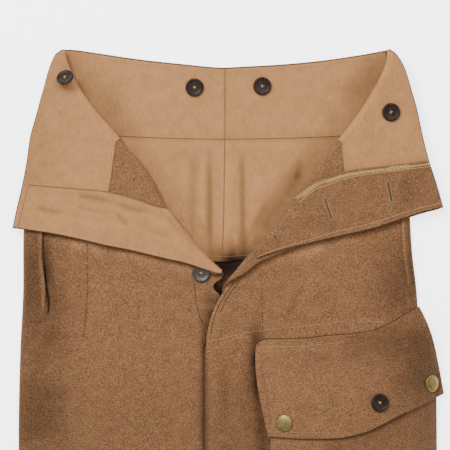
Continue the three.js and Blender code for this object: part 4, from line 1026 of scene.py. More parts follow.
def layLeafLining(name):
    front, sizes, look = fronts[name], leafLining[name], leafLining
    tall, reach = look["tall"], look["wide"]
    ts = (withRims(np.linspace(0, tall, look["rows"])) / tall) ** (1 / look["spread"])
    arcs = np.linspace(0, 1, look["bendColumns"])
    flats = np.concatenate([np.linspace(0, reach - 3, look["columns"])[1:], (reach - rimSteps)[::-1]]) / reach
    bendCols = np.concatenate([rimSteps / (math.pi * garment["foldRadius"]), arcs[2:]])
    arc = np.concatenate([bendCols, np.ones(len(flats))])
    flat = np.concatenate([np.zeros(len(bendCols)), flats])
    t, k = np.meshgrid(ts, np.arange(len(arc)), indexing="ij")
    c = t ** look["spread"]
    past = mix(sizes["reachAtWaist"], sizes["reachAtLower"], c) * flat[k]
    along = leafLiningAlong(name, t, past)
    cut = foldArc(along) * mix(garment["liningStart"], 1, arc[k]) + past
    fromSide = np.minimum(arc[k] * foldArc(along) + past, (1 - flat[k]) * reach)
    rim = rimShare(np.minimum(fromSide, np.minimum(c, 1 - c) * tall), drill)
    mid = onWool + drill / 2
    under = onLeaf(front, along, cut, mid - drill / 2 * rim)
    over = onLeaf(front, along, cut, mid + drill / 2 * rim)
    paintedShading = creaseShading(front["leafCreases"], over[..., 0], over[..., 1])
    paintedShading = paintedShading * (1 - look["footShade"] * hump((1 - c) * tall / look["footShadeWide"]))
    return makeShell(f"leafLining_{name}", under, over, leafCut(front, along, cut), paintedShading, drillCloth, "drill")


leafLinings = {name: layLeafLining(name) for name in fronts}

# Fly facings, in rows from the waist end to the tip: along the fold and past it, at the inner edge and at the
# fly edge.
flyFacing = {
    "ease": 0.45,
    "right": {
        "wall": drill, "rows": [
            (96, 108, 127, 147.5), (122, 80.5, 155, 122), (154, 47, 183, 94), (174, 28.5, 203, 73.5),
            (195, 10, 220, 56.5), (211, -3.5, 236, 42.5), (232, -6.5, 252, 29.5), (256, -6.5, 269, 16),
            (280, -6.5, 286, 6.0), (299, -6.5, 301, -1.5)],
    },
    "left": {
        "wall": wool, "rows": [
            (77, 86, 109, 129.5), (108, 53, 138, 109), (139, 22.5, 165, 89.5), (155, 10.5, 182, 75),
            (170, 0.5, 198, 60), (192, -4.5, 216, 42.5), (216, -5, 236, 25.5), (242, -5, 256, 12),
            (264, -5, 272, 3.5)],
    },
    "liningEnds": 0.36, "liningFade": 0.16, "long": 230, "wide": 46, "rows": 140, "columns": 34,
    "innerShade": 0.15, "stepAt": 2.2, "stepHighlight": 0.10, "leftTone": 0.94, "leftEdgeHighlight": 0.22,
    "leftEdgeWide": 1.8,
}


# A facing lies over its leaf's waist lining for the first part of its length, and on the wool below it.
def facingHeight(share):
    onLining = 1 - smooth((share - flyFacing["liningEnds"]) / flyFacing["liningFade"])
    return onWool + flyFacing["ease"] + (drill + seam) * onLining


# Along, cut past the fold, and height of a facing's underside at a share of its length and of its width.
def facingPlace(name, share, u):
    rows = flyFacing[name]["rows"]
    numbered = [(i / (len(rows) - 1), *row) for i, row in enumerate(rows)]
    inAlong, inPast, outAlong, outPast = (curveThrough(numbered, column=k)(share) for k in (1, 2, 3, 4))
    along = mix(inAlong, outAlong, u)
    return along, foldArc(along) + mix(inPast, outPast, u), facingHeight(share)


def layFacing(name):
    front, wall, look = fronts[name], flyFacing[name]["wall"], flyFacing
    longWay, wideWay = look["long"], look["wide"]
    shares = withRims(np.linspace(0, longWay, look["rows"])) / longWay
    us = withRims(np.linspace(0, wideWay, look["columns"])) / wideWay
    share, u = np.meshgrid(shares, us, indexing="ij")
    along, cut, low = facingPlace(name, share, u)
    edge = np.minimum(np.minimum(share, 1 - share) * longWay, np.minimum(u, 1 - u) * wideWay)
    rim = rimShare(edge, wall)
    mid = low + wall / 2
    under = onLeaf(front, along, cut, mid - wall / 2 * rim)
    over = onLeaf(front, along, cut, mid + wall / 2 * rim)
    paintedShading = creaseShading(front["leafCreases"], over[..., 0], over[..., 1])
    # Painted shade along the facing's inner edge; painted highlights along the left facing's fold edge and at
    # the step on the right one.
    paintedShading = paintedShading * (1 - look["innerShade"] * hump(u * wideWay / 2))
    if name == "left":
        atEdge = hump((1 - u) * wideWay / look["leftEdgeWide"])
        paintedShading = paintedShading * (look["leftTone"] + look["leftEdgeHighlight"] * atEdge)
    else:
        paintedShading = paintedShading * (1 + look["stepHighlight"] * hump((u * wideWay - look["stepAt"]) / garment["cutEdge"]))
    material, slotName = (drillCloth, "drill") if name == "right" else (woolCloth, "serge")
    return makeShell(f"facingCloth_{name}", under, over, leafCut(front, along, cut), paintedShading, material, slotName)


facings = {name: layFacing(name) for name in fronts}
print("leaf linings and fly facings laid")


# The folded strip behind each side pocket mouth: down, and from the side seam to its two edges.
pocketEdge = {
    "wall": 1.6,
    "right": [(190, 3, 18.5), (240, 3, 20.5), (275, 3, 23.5), (298, 3, 24.5)],
    "left": [(180, 3, 9), (225, 3, 9), (268, 3, 8)],
    "stepDown": 3, "wide": {"right": 18, "left": 6}, "columns": {"right": 12, "left": 7},
    "thinEnd": 0.25, "thinOver": 22, "paintedShading": 0.86, "rolledHighlight": 0.80, "rolledWide": 3.0, "darkest": 0.55,
}


def layPocketEdge(name):
    front, table, wall, look = fronts[name], pocketEdge[name], pocketEdge["wall"], pocketEdge
    downs = withRims(evenly(table[0][0], table[-1][0], look["stepDown"]))
    wideWay = look["wide"][name]
    us = withRims(np.linspace(0, wideWay, look["columns"][name])) / wideWay
    down, u = np.meshgrid(downs, us, indexing="ij")
    outside = front["leg"]["outerX"](down)
    x = outside - front["side"] * mix(curveThrough(table, 1)(down), curveThrough(table, 2)(down), u)
    edge = np.minimum(np.minimum(down - downs[0], downs[-1] - down), np.minimum(u, 1 - u) * wideWay)
    rim = rimShare(edge, wall)
    # The strip thins out towards its lower end, where it is sewn down.
    full = smooth((downs[-1] - down) / look["thinOver"])
    half = wall / 2 * mix(look["thinEnd"], 1, full)
    heightAt = lambda px, py: frontHeight(front, px, py)
    under = faced(heightAt, x, -down, onWool + half * (1 - rim))
    over = faced(heightAt, x, -down, onWool + half * (1 + rim))
    # The strip is painted darker, as in shade, with a painted highlight along its rolled edge; the front's
    # painted shade is laid over it.
    strip = look["paintedShading"] + look["rolledHighlight"] * hump((1 - u) * wideWay / look["rolledWide"])
    paintedShading = mix(1.0, strip, full) * np.maximum(frontShading(front, x, -down), look["darkest"])
    return makeShell(f"pocketEdge_{name}", under, over, np.stack([x, -down], -1), paintedShading, woolCloth, "serge")


pocketEdges = {name: layPocketEdge(name) for name in fronts}

# The map pocket. Rows of flapTop and flapFoot are across and down, of rightEdge down and across, and of crown
# across and how high the bag's face stands.
mapPocket = {
    "flapTop": [(35, 322), (42, 318), (82, 317), (115, 313.5), (140, 311.5), (162, 308), (176, 303),
                (192, 294), (213, 281)],
    "flapFoot": [(47, 423), (82, 424.5), (126, 423.5), (154, 417), (176, 407), (192, 399), (214, 390),
                 (241, 377)],
    "flapEase": 1.1, "flapBow": 5.0, "flapLowest": 4, "flapSewnX": 211, "flapSewnDrop": 0.8,
    "flapTall": 104, "flapWide": 190, "flapRows": 44, "flapColumns": 72,
    "mouth": 24.0, "bagLeft": 50.0, "rightEdge": [(300, 212), (334, 225), (375, 232.5), (576, 233)],
    "gussetLow": 4.5, "bagFoot": 576.0, "footRound": 16.0, "mouthRise": 70.0,
    "bagTall": 240, "bagWide": 180, "bagColumns": 62,
    "bagSteps": ((0, 90, 4.5), (90, 225, 5), (225, 240, 1.8)),
    "crown": [(50, 21), (62, 25), (85, 30), (125, 33), (160, 31), (185, 26.5), (205, 20.5), (220, 13.5),
              (228, 8), (233, 3.6)],
    "gusset": (0, 0.04, 0.12, 0.3, 0.5, 0.7, 0.86), "gussetBow": 1.4, "gussetFold": 3, "gussetDeep": 20,
    "gussetShade": 0.62, "gussetFade": 25, "frontEnds": 200, "flapFrontEnds": 196, "flapFade": (2, 20),
    "bagFades": {"left": (52, 12), "right": (222, 14), "top": (60, 30)},
    "sideShade": 0.28, "bagShade": (190, 40), "flapShade": (165, 55),
    "flapCreases": [
        (66, -329, 115.5, -342.1, 0, 5, -0.7, -0.05),
        (104.5, -389.4, 126.5, -411.4, 0, 6, -0.9, -0.06),
        (150, -330, 190, -352, 0, 9, 0.8, 0.02),
        (80, -360, 96, -400, 0, 9, 0.6, 0.03),
        (205, -300, 222, -372, 0, 12, -0.4, -0.10),
        (118, -326, 206, -314, 0, 22, 0, -0.22),
        (212, -296, 228, -390, 0, 28, 0, -0.14),
        (188, -286, 196, -392, 0, 30, 0, -0.18),
        (55, -345, 200, -338, 0, 26, 0, -0.12),
    ],
    "bagCreases": [
        (148.5, -416.9, 214.5, -389.4, 0, 7, -1.2, -0.08),
        (120, -440, 200, -470, 4, 10, 1.2, 0.03),
        (90, -432, 222, -404, 0, 30, 0, -0.26),
        (70, -450, 78, -550, 0, 8, 0.9, 0.03),
        (180, -470, 170, -560, 0, 9, -1.0, -0.04),
    ],
}
flapTopDown = curveThrough(mapPocket["flapTop"])
flapFootDown = curveThrough(mapPocket["flapFoot"])
flapTopEnds, flapFootEnds = ((mapPocket[key][0][0], mapPocket[key][-1][0]) for key in ("flapTop", "flapFoot"))
crownAt = curveThrough(mapPocket["crown"])
bagRightAt = curveThrough(mapPocket["rightEdge"])


# How far down the flap's sewn edge lies above a place of the pocket.
def sewnDown(x):
    return flapTopDown(np.clip(x, *flapTopEnds))


def bagPlain(x, y):
    base = frontPlain(fronts["left"], np.clip(x, 0, mapPocket["frontEnds"]), y) + onWool + wool / 2
    crown = crownAt(x)
    fromTop = -y - sewnDown(x)
    toFoot = mapPocket["bagFoot"] + y
    nearGusset = 1 - smooth((x - mapPocket["bagLeft"]) / mapPocket["gussetFade"])
    low = np.minimum(base + mapPocket["gussetLow"] * nearGusset, crown)
    rise = smooth(fromTop / mapPocket["mouthRise"]) * quarterRound(toFoot / mapPocket["footRound"])
    return mix(low, crown, rise)


# The bag's creases fade out towards its sides and its mouth.
def bagHeight(x, y):
    (left, leftFade), (right, rightFade), (top, topFade) = mapPocket["bagFades"].values()
    inset = smooth((x - left) / leftFade) * smooth((right - x) / rightFade)
    inset = inset * smooth((-y - sewnDown(x) - top) / topFade)
    return bagPlain(x, y) + creaseLift(mapPocket["bagCreases"], x, y) * inset


# Painted shade, darker towards the pocket's outer side where it falls away.
def outerShade(x, start, wide):
    return 1 - mapPocket["sideShade"] * smooth((x - start) / wide)


def layBag():
    half, look = wool / 2, mapPocket
    left, foot, tall, wide = look["bagLeft"], look["bagFoot"], look["bagTall"], look["bagWide"]
    ts = withRims(np.unique(np.concatenate([evenly(*step) for step in look["bagSteps"]]))) / tall
    across = withRims(np.linspace(0, wide, look["bagColumns"]))[3:] / wide
    across = np.concatenate([[0], across])
    rightDown = mix(flapTopDown(flapTopEnds[1]) + look["mouth"], foot, ts)
    right = bagRightAt(rightDown)
    x = mix(left, right[:, None], across[None, :])
    y = -mix(sewnDown(x) + look["mouth"], foot, ts[:, None])
    fromEnd = (np.minimum(ts, 1 - ts) * tall)[:, None]
    rim = rimShare(np.minimum(fromEnd, (1 - across)[None, :] * wide), wool)
    under, over = faced(bagHeight, x, y, -half * rim), faced(bagHeight, x, y, half * rim)
    # The left gusset stands on the front and meets the bag's face round a soft corner.
    yLeft = -mix(flapTopDown(left) + look["mouth"], foot, ts)
    base = frontPlain(fronts["left"], left + look["gussetFold"], yLeft) + onWool
    face = bagHeight(np.full_like(yLeft, left), yLeft)
    gussetUnder, gussetOver, gussetCut = [], [], []
    rimLeft = rimShare(np.minimum(ts, 1 - ts) * tall, wool)
    for rise in look["gusset"]:
        z = mix(base, face + half, rise)
        bow = look["gussetBow"] * math.sin(math.pi * rise)
        foldIn = look["gussetFold"] * (1 - rise) ** 2
        share = rimLeft * min(1, rise / look["gusset"][2])
        midX = left + foldIn - bow + half
        gussetUnder.append(np.stack([midX + half * share, yLeft, np.minimum(z, face - half)], -1))
        gussetOver.append(np.stack([midX - half * share, yLeft, z], -1))
        cutX = left - look["gussetDeep"] + look["gussetDeep"] * rise
        gussetCut.append(np.stack([np.full_like(yLeft, cutX), yLeft], -1))
    under[:, 0] = np.stack([np.full_like(yLeft, left + wool * 0.9), yLeft, face - half * rimLeft], -1)
    over[:, 0] = np.stack([np.full_like(yLeft, left + 0.5), yLeft, face + half * rimLeft * 0.9], -1)
    under = np.concatenate([np.stack(gussetUnder, 1), under], 1)
    over = np.concatenate([np.stack(gussetOver, 1), over], 1)
    # Painted shade: the gusset is coloured dark as the shade inside the bellows fold, and the face darker
    # towards its outer side.
    faceShading = creaseShading(look["bagCreases"], x, y) * outerShade(x, *look["bagShade"])
    paintedShading = np.concatenate([np.full((len(ts), len(look["gusset"])), look["gussetShade"]), faceShading], 1)
    cut = np.concatenate([np.stack(gussetCut, 1), np.stack([x, y], -1)], 1)
    return makeShell("mapPocketBag", under, over, cut, paintedShading, woolCloth, "serge")


bagPiece = layBag()


def flapPlan(u, v):
    topX, footX = mix(*flapTopEnds, u), mix(*flapFootEnds, u)
    bowed = mapPocket["flapBow"] * np.sin(math.pi * v ** 0.7) * (2 * u - 1) ** 3
    return mix(topX, footX, v) + bowed, mix(flapTopDown(topX), flapFootDown(footX), v)


def flapHeight(x, y):
    fromTop = -y - sewnDown(x)
    onFront = frontPlain(fronts["left"], np.clip(x, 0, mapPocket["flapFrontEnds"]), y) + onWool + wool / 2
    onBag = bagPlain(np.maximum(x, mapPocket["bagLeft"]), y) + wool + seam + mapPocket["flapEase"]
    sewn = onFront - mapPocket["flapSewnDrop"] * np.maximum(0, x - mapPocket["flapSewnX"])
    blend = smooth((fromTop - mapPocket["flapFade"][0]) / mapPocket["flapFade"][1])
    sewn, onBag = (np.maximum(height, mapPocket["flapLowest"]) for height in (sewn, onBag))
    return mix(sewn, onBag, blend) + creaseLift(mapPocket["flapCreases"], x, y) * blend


def layFlap():
    half, tall, wide = wool / 2, mapPocket["flapTall"], mapPocket["flapWide"]
    vs = withRims(np.linspace(0, tall, mapPocket["flapRows"])) / tall
    us = withRims(np.linspace(0, wide, mapPocket["flapColumns"])) / wide
    v, u = np.meshgrid(vs, us, indexing="ij")
    x, down = flapPlan(u, v)
    rim = rimShare(np.minimum(np.minimum(v, 1 - v) * tall, np.minimum(u, 1 - u) * wide), wool)
    under, over = faced(flapHeight, x, -down, -half * rim), faced(flapHeight, x, -down, half * rim)
    paintedShading = creaseShading(mapPocket["flapCreases"], x, -down) * outerShade(x, *mapPocket["flapShade"])
    return makeShell("mapPocketFlap", under, over, np.stack([x, -down], -1), paintedShading, woolCloth, "serge")


flapPiece = layFlap()
print("pockets laid")

for name in fronts:
    declareCloth(backPieces[name], f"back_{name}")
    declareCloth(frontPieces[name], f"front_{name}")
    declareCloth(backLinings[name], f"waist_lining_back_{name}")
    declareCloth(seatPieces[name], f"seat_lining_{name}")
    declareCloth(leafLinings[name], f"waist_lining_front_{name}")
    declareCloth(facings[name], f"fly_facing_{name}")
    declareCloth(pocketEdges[name], f"side_pocket_edge_{name}")
declareCloth(bagPiece, "map_pocket_bag")
declareCloth(flapPiece, "map_pocket_flap")

# Buttons: dished discs with four holes and a cross of thread. Snaps: low brass caps. Profiles are in rows of
# from the middle and up.
button = {
    "radius": 10.0, "holes": 4, "holeRadius": 1.0, "holeFromCentre": 2.2, "sharpEdge": 50,
    "profile": [(0.0, 0), (7.2, 0), (8.6, 0.45), (9.6, 1.0), (10.0, 1.6), (9.95, 2.2), (9.6, 2.8),
                (9.0, 3.12), (8.5, 3.14), (8.0, 2.95), (7.6, 2.6), (7.1, 2.32), (5, 2.16), (0.0, 2.1)],
}
snap = {
    "radius": 9.3,
    "profile": [(0.0, 0), (8.8, 0), (9.3, 0.5), (9.2, 0.95), (8.7, 1.5), (8.0, 1.75), (7.5, 1.68),
                (7.0, 1.92), (5.6, 2.3), (3.2, 2.52), (0.0, 2.6)],
}


def latheMesh(name, profile, sides=48):
    mesh = bpy.data.meshes.new(name)
    angles = np.arange(sides) * math.tau / sides
    points, faces = [(0, 0, profile[0][1])], []
    for r, z in profile[1:-1]:
        points += [(r * math.cos(a), r * math.sin(a), z) for a in angles]
    points.append((0, 0, profile[-1][1]))
    rings = len(profile) - 2
    for i in range(sides):
        j = (i + 1) % sides
        faces.append((0, 1 + j, 1 + i))
        for k in range(rings - 1):
            a, b = 1 + k * sides, 1 + (k + 1) * sides
            faces.append((a + i, a + j, b + j, b + i))
        last = 1 + (rings - 1) * sides
        faces.append((last + i, last + j, len(points) - 1))
    mesh.from_pydata(points, [], faces)
    mesh.update()
    return mesh


# A disc with its sewing holes cut through.
def pierced(mesh):
    disc = linkedPiece("disc", mesh)
    holes = []
    radius, out = button["holeRadius"], button["holeFromCentre"]
    for i in range(button["holes"]):
        a = (i + 0.5) * math.tau / button["holes"]
        tool = latheMesh("hole", [(0, -2), (radius, -2), (radius, 6), (0, 6)], 14)
        tool.transform(Matrix.Translation((out * math.cos(a), out * math.sin(a), 0)))
        drillTool = linkedPiece("hole", tool)
        cutter = disc.modifiers.new("hole", "BOOLEAN")
        cutter.operation, cutter.object, cutter.solver = "DIFFERENCE", drillTool, "EXACT"
        holes.append(drillTool)
    result = bpy.data.meshes.new_from_object(disc.evaluated_get(bpy.context.evaluated_depsgraph_get()))
    for extra in holes + [disc]:
        bpy.data.objects.remove(extra)
    return result


clothTree = {}


def treeOf(piece):
    if piece.name not in clothTree:
        mesh = piece.data
        verts = np.empty(len(mesh.vertices) * 3)
        mesh.vertices.foreach_get("co", verts)
        faces = [tuple(p.vertices) for p in mesh.polygons]
        clothTree[piece.name] = BVHTree.FromPolygons(verts.reshape(-1, 3).tolist(), faces)
    return clothTree[piece.name]


# The highest place of a piece under a point at the height given by over.
def clothAt(piece, x, y, over):
    start = Vector(toWorld((x, y, over)))
    return treeOf(piece).ray_cast(start, Vector((0, 0, -1)))[0]


# Lays a trim square on the cloth under it, as low as leaves the seam gap under its rim.
def layTrim(piece, x, y, radius, over=100.0, lean=(0, 0, 0)):
    r = radius * 0.7  # the slope is taken between places this far out
    slopeX = clothAt(piece, x + r, y, over) - clothAt(piece, x - r, y, over)
    slopeY = clothAt(piece, x, y + r, over) - clothAt(piece, x, y - r, over)
    normal = (slopeX.cross(slopeY).normalized() + Vector(lean)).normalized()
    centre = clothAt(piece, x, y, over)
    lift = 0.0
    for share in (0.15, 0.35, 0.5, 0.7, 0.9, 1.1, 1.3):
        for i in range(16):
            a = i * math.pi / 8
            spot = clothAt(piece, x + radius * share * math.cos(a), y + radius * share * math.sin(a), over)
            if spot is None:
                continue
            height = (spot - centre).dot(normal)
            if (spot - centre - normal * height).length < radius / 1000:
                lift = max(lift, height)
    return centre + normal * (lift + seam / 1000), normal


def leafSpot(name, along, past):
    x, y, _ = onLeaf(fronts[name], along, foldArc(along) + past, onWool + drill)
    return float(x), float(y)


def placedMesh(mesh, centre, normal, spin):
    turn = Vector((0, 0, 1)).rotation_difference(normal).to_matrix()
    verts = np.empty(len(mesh.vertices) * 3)
    mesh.vertices.foreach_get("co", verts)
    c, s = math.cos(spin), math.sin(spin)
    verts = verts.reshape(-1, 3) @ np.array([[c, -s, 0], [s, c, 0], [0, 0, 1]]).T / 1000
    verts = verts @ np.array(turn).T + np.array(centre)
    copy = mesh.copy()
    copy.vertices.foreach_set("co", verts.ravel())
    copy.update()
    return copy


buttonMesh = pierced(latheMesh("buttonDisc", button["profile"]))
snapMesh = latheMesh("snapCap", snap["profile"])
# Each trim's node, kind, cloth, place, how it is laid and how far it is turned.
trims = [
    ("brace_button_back_right", "button", backLinings["right"], (-33.5, -40), {}, 0.3),
    ("brace_button_back_left", "button", backLinings["left"], (41, -38.5), {}, 0.9),
    ("brace_button_front_right", "button", leafLinings["right"], leafSpot("right", 34.5, 1.8),
     {"lean": (-0.45, 0.78, 0)}, 0.5),
    ("brace_button_front_left", "button", leafLinings["left"], leafSpot("left", 56.5, 23), {}, 1.2),
    ("fly_button", "button", frontPieces["right"], (-26.1, -244), {"over": 11.0}, 0.2),
    ("map_pocket_button", "button", flapPiece, (168.5, -385), {}, 0.1),
    ("map_pocket_snap_inner", "snap", flapPiece, (65, -407.5), {}, 0.0),
    ("map_pocket_snap_outer", "snap", flapPiece, (227, -365.5), {}, 0.0),
]
threadBar = {"long": 4.6, "thick": 0.8, "height": 2.35, "step": 0.3, "arch": 0.55, "dive": 1.0, "tip": 0.6,
             "sides": 7, "lengths": 8}


# A bar of thread from hole to hole, arched in the middle and going down at its ends.
def barMesh(height, turn):
    points, faces = [], []
    sides, lengths = threadBar["sides"], threadBar["lengths"]
    c, s = math.cos(turn), math.sin(turn)
    for t in np.linspace(-1, 1, lengths + 1):
        z = height + threadBar["arch"] * (1 - t ** 4) - threadBar["dive"] * abs(t) ** 8
        r = threadBar["thick"] / 2 * (1 if abs(t) < 0.99 else threadBar["tip"])
        for k in range(sides):
            a = k * math.tau / sides
            px, py = threadBar["long"] / 2 * t, r * math.cos(a)
            points.append((px * c - py * s, px * s + py * c, z + r * math.sin(a)))
    for i in range(lengths):
        for k in range(sides):
            a, b = i * sides + k, i * sides + (k + 1) % sides
            faces.append((a, b, b + sides, a + sides))
    faces.append(tuple(reversed(range(sides))))
    faces.append(tuple(lengths * sides + k for k in range(sides)))
    mesh = bpy.data.meshes.new("threadBar")
    mesh.from_pydata(points, [], faces)
    mesh.update()
    return mesh


def newPiece(name, mesh, material):
    mesh.materials.clear()
    mesh.materials.append(material)
    mesh.polygons.foreach_set("use_smooth", [True] * len(mesh.polygons))
    piece = linkedPiece(name, mesh)
    return piece


for node, kind, cloth, (x, y), extra, spin in trims:
    isButton = kind == "button"
    base, radius = (buttonMesh, button["radius"]) if isButton else (snapMesh, snap["radius"])
    centre, normal = layTrim(cloth, x, y, radius, **extra)
    finish = brassFinish if not isButton else wornHorn if node == "fly_button" else hornFinish
    mesh = placedMesh(base, centre, normal, spin)
    piece = newPiece("trim_" + node, mesh, finish)
    if isButton:
        piece.data.set_sharp_from_angle(angle=math.radians(button["sharpEdge"]))
    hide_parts(node)
    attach(piece, "root")
    if isButton:
        for i, turn in enumerate((math.pi / 4, -math.pi / 4)):
            mesh = barMesh(threadBar["height"] + threadBar["step"] * i, turn)
            mesh = placedMesh(mesh, centre, normal, spin)
            bar = newPiece(f"thread{i}_" + node, mesh, threads["button"])
            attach(bar, "root")
print("buttons and snaps set")


# Rows of stitches, in metres and radians: Pitch is from stitch to stitch, Thread the thickness, Turn the
# slant and Sway how much that wavers.
plainStitch = {"Pitch": 0.0032, "Stitch Length": 0.0025, "Thread": 0.00055, "Sway": 0.04, "Seed": 3}
overlockStitch = {"Pitch": 0.0023, "Stitch Length": 0.0072, "Thread": 0.0007, "Sway": 0.16}
stitchKinds = {
    "stitchesLining": {},
    "seamShadeLines": {"Pitch": 0.0016, "Stitch Length": 0.0024, "Thread": 0.0007, "Sway": 0.06, "Seed": 21},
    "stitchesPale": {"Pitch": 0.0030, "Stitch Length": 0.0023, "Thread": 0.00045, "Sway": 0.08, "Seed": 22},
    "stitchesWool": {},
    "overlock0": {**overlockStitch, "Turn": 1.15, "Seed": 5},
    "overlock1": {**overlockStitch, "Turn": -0.85, "Seed": 6},
    "overlockEdge": {"Pitch": 0.0022, "Stitch Length": 0.0024, "Thread": 0.0008, "Sway": 0.1, "Seed": 7},
    "flyEdgeStitches": {"Pitch": 0.0026, "Stitch Length": 0.0025, "Thread": 0.0007, "Sway": 0.06, "Seed": 8},
    "facingShade": {"Pitch": 0.0016, "Stitch Length": 0.0026, "Thread": 0.0007, "Seed": 9},
    "buttonholeThread": {"Pitch": 0.0008, "Stitch Length": 0.0024, "Thread": 0.0006, "Turn": 1.45,
                         "Sway": 0.15, "Seed": 11},
    "buttonholeSlitShade": {"Pitch": 0.0007, "Stitch Length": 0.0024, "Thread": 0.0009, "Sway": 0.1, "Seed": 12},
}


# A path is resampled and each place gets a short length of thread.
def makeStitchTree():
    tree = bpy.data.node_groups.new("stitchRow", "GeometryNodeTree")
    face = tree.interface
    face.new_socket("Path", in_out="INPUT", socket_type="NodeSocketGeometry")
    for label in ("Pitch", "Stitch Length", "Thread", "Turn", "Sway"):
        socket = face.new_socket(label, in_out="INPUT", socket_type="NodeSocketFloat")
        socket.default_value = plainStitch.get(label, 0.0)
    face.new_socket("Finish", in_out="INPUT", socket_type="NodeSocketMaterial")
    face.new_socket("Seed", in_out="INPUT", socket_type="NodeSocketInt").default_value = plainStitch["Seed"]
    face.new_socket("Stitches", in_out="OUTPUT", socket_type="NodeSocketGeometry")

    # A new node, its settings, and what goes into its inputs: an output or a fixed value.
    def add(kind, settings, inputs):
        node = tree.nodes.new(kind)
        for key, value in settings.items():
            setattr(node, key, value)
        for key, value in inputs.items():
            if isinstance(value, bpy.types.NodeSocket):
                tree.links.new(value, node.inputs[key])
            else:
                node.inputs[key].default_value = value
        return node

    source, sink = tree.nodes.new("NodeGroupInput"), tree.nodes.new("NodeGroupOutput")
    given = source.outputs
    path = add("GeometryNodeMeshToCurve", {}, {"Mesh": given["Path"]}).outputs["Curve"]
    places = add("GeometryNodeResampleCurve", {"mode": "LENGTH"}, {"Curve": path, "Length": given["Pitch"]})
    tangent = add("GeometryNodeInputTangent", {}, {}).outputs["Tangent"]
    along = add("FunctionNodeAlignRotationToVector", {"axis": "X"}, {"Vector": tangent})
    # Each stitch turns by Turn and up to Sway either way.
    least = add("ShaderNodeMath", {"operation": "MULTIPLY"}, {0: given["Sway"], 1: -1}).outputs[0]
    sway = add("FunctionNodeRandomValue", {"data_type": "FLOAT"}, {"Seed": given["Seed"]})
    for label, value in (("Min", least), ("Max", given["Sway"])):
        tree.links.new(value, next(s for s in sway.inputs if s.name == label and s.type == "VALUE"))
    swayed = next(s for s in sway.outputs if s.type == "VALUE")
    turned = add("ShaderNodeMath", {"operation": "ADD"}, {0: given["Turn"], 1: swayed}).outputs[0]
    spin = add("ShaderNodeCombineXYZ", {}, {"Z": turned}).outputs[0]
    spin = add("FunctionNodeEulerToRotation", {}, {0: spin}).outputs[0]
    rotation = add("FunctionNodeRotateRotation", {"rotation_space": "LOCAL"},
                   {"Rotation": along.outputs["Rotation"], "Rotate By": spin})
    bead = add("GeometryNodeMeshUVSphere", {}, {"Segments": 8, "Rings": 5, "Radius": 0.5})
    lying = add("GeometryNodeTransform", {},
                {"Geometry": bead.outputs["Mesh"], "Rotation": (0, math.pi / 2, 0)})
    sizes = add("ShaderNodeCombineXYZ", {},
                {"X": given["Stitch Length"], "Y": given["Thread"], "Z": given["Thread"]})
    row = add("GeometryNodeInstanceOnPoints", {},
              {"Points": places.outputs["Curve"], "Instance": lying.outputs["Geometry"],
               "Rotation": rotation.outputs["Rotation"], "Scale": sizes.outputs[0]})
    made = add("GeometryNodeRealizeInstances", {}, {"Geometry": row.outputs["Instances"]})
    smoothed = add("GeometryNodeSetShadeSmooth", {}, {"Geometry": made.outputs["Geometry"]})
    finished = add("GeometryNodeSetMaterial", {},
                   {"Geometry": smoothed.outputs["Geometry"], "Material": given["Finish"]})
    tree.links.new(finished.outputs["Geometry"], sink.inputs["Stitches"])
    return tree


stitchTree = makeStitchTree()


def sewPaths(name, paths, finish):
    points, edges = [], []
    for path in paths:
        start = len(points)
        points += toWorld(path).tolist()
        edges += [(start + i, start + i + 1) for i in range(len(path) - 1)]
    mesh = bpy.data.meshes.new(name + "Path")
    mesh.from_pydata(points, edges, [])
    carrier = linkedPiece(name + "Path", mesh)
    row = carrier.modifiers.new("stitches", "NODES")
    row.node_group = stitchTree
    values = {"Finish": finish, **plainStitch, **stitchKinds[name]}
    for item in stitchTree.interface.items_tree:
        if item.item_type == "SOCKET" and item.in_out == "INPUT" and item.name in values:
            row[item.identifier] = values[item.name]
    made = bpy.data.meshes.new_from_object(carrier.evaluated_get(bpy.context.evaluated_depsgraph_get()))
    bpy.data.objects.remove(carrier)
    made.name = name
    piece = linkedPiece(name, made)
    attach(piece, "root")
    print(f"{name}: {len(made.polygons)} faces")


# Points along a line of (x, y) in plan, lying on a piece's upper face.
def planPath(heightAt, off, corners, step=2.0):
    xs, ys = [], []
    for (ax, ay), (bx, by) in zip(corners[:-1], corners[1:]):
        n = max(int(math.hypot(bx - ax, by - ay) / step), 2)
        t = np.linspace(0, 1, n + 1)[:-1]
        xs.append(mix(ax, bx, t))
        ys.append(mix(ay, by, t))
    x = np.append(np.concatenate(xs), corners[-1][0])
    y = np.append(np.concatenate(ys), corners[-1][1])
    return faced(heightAt, x, y, off)


sewing = {"above": 0.05, "fromEdge": 4, "fromFoot": 3.5, "fromSeam": 1.6, "fromHem": 32, "fromSide": 5,
          "fromBagSide": 20, "fromBagFoot": 28}
drillTop = drill / 2 + sewing["above"]
woolTop = wool / 2 + sewing["above"]

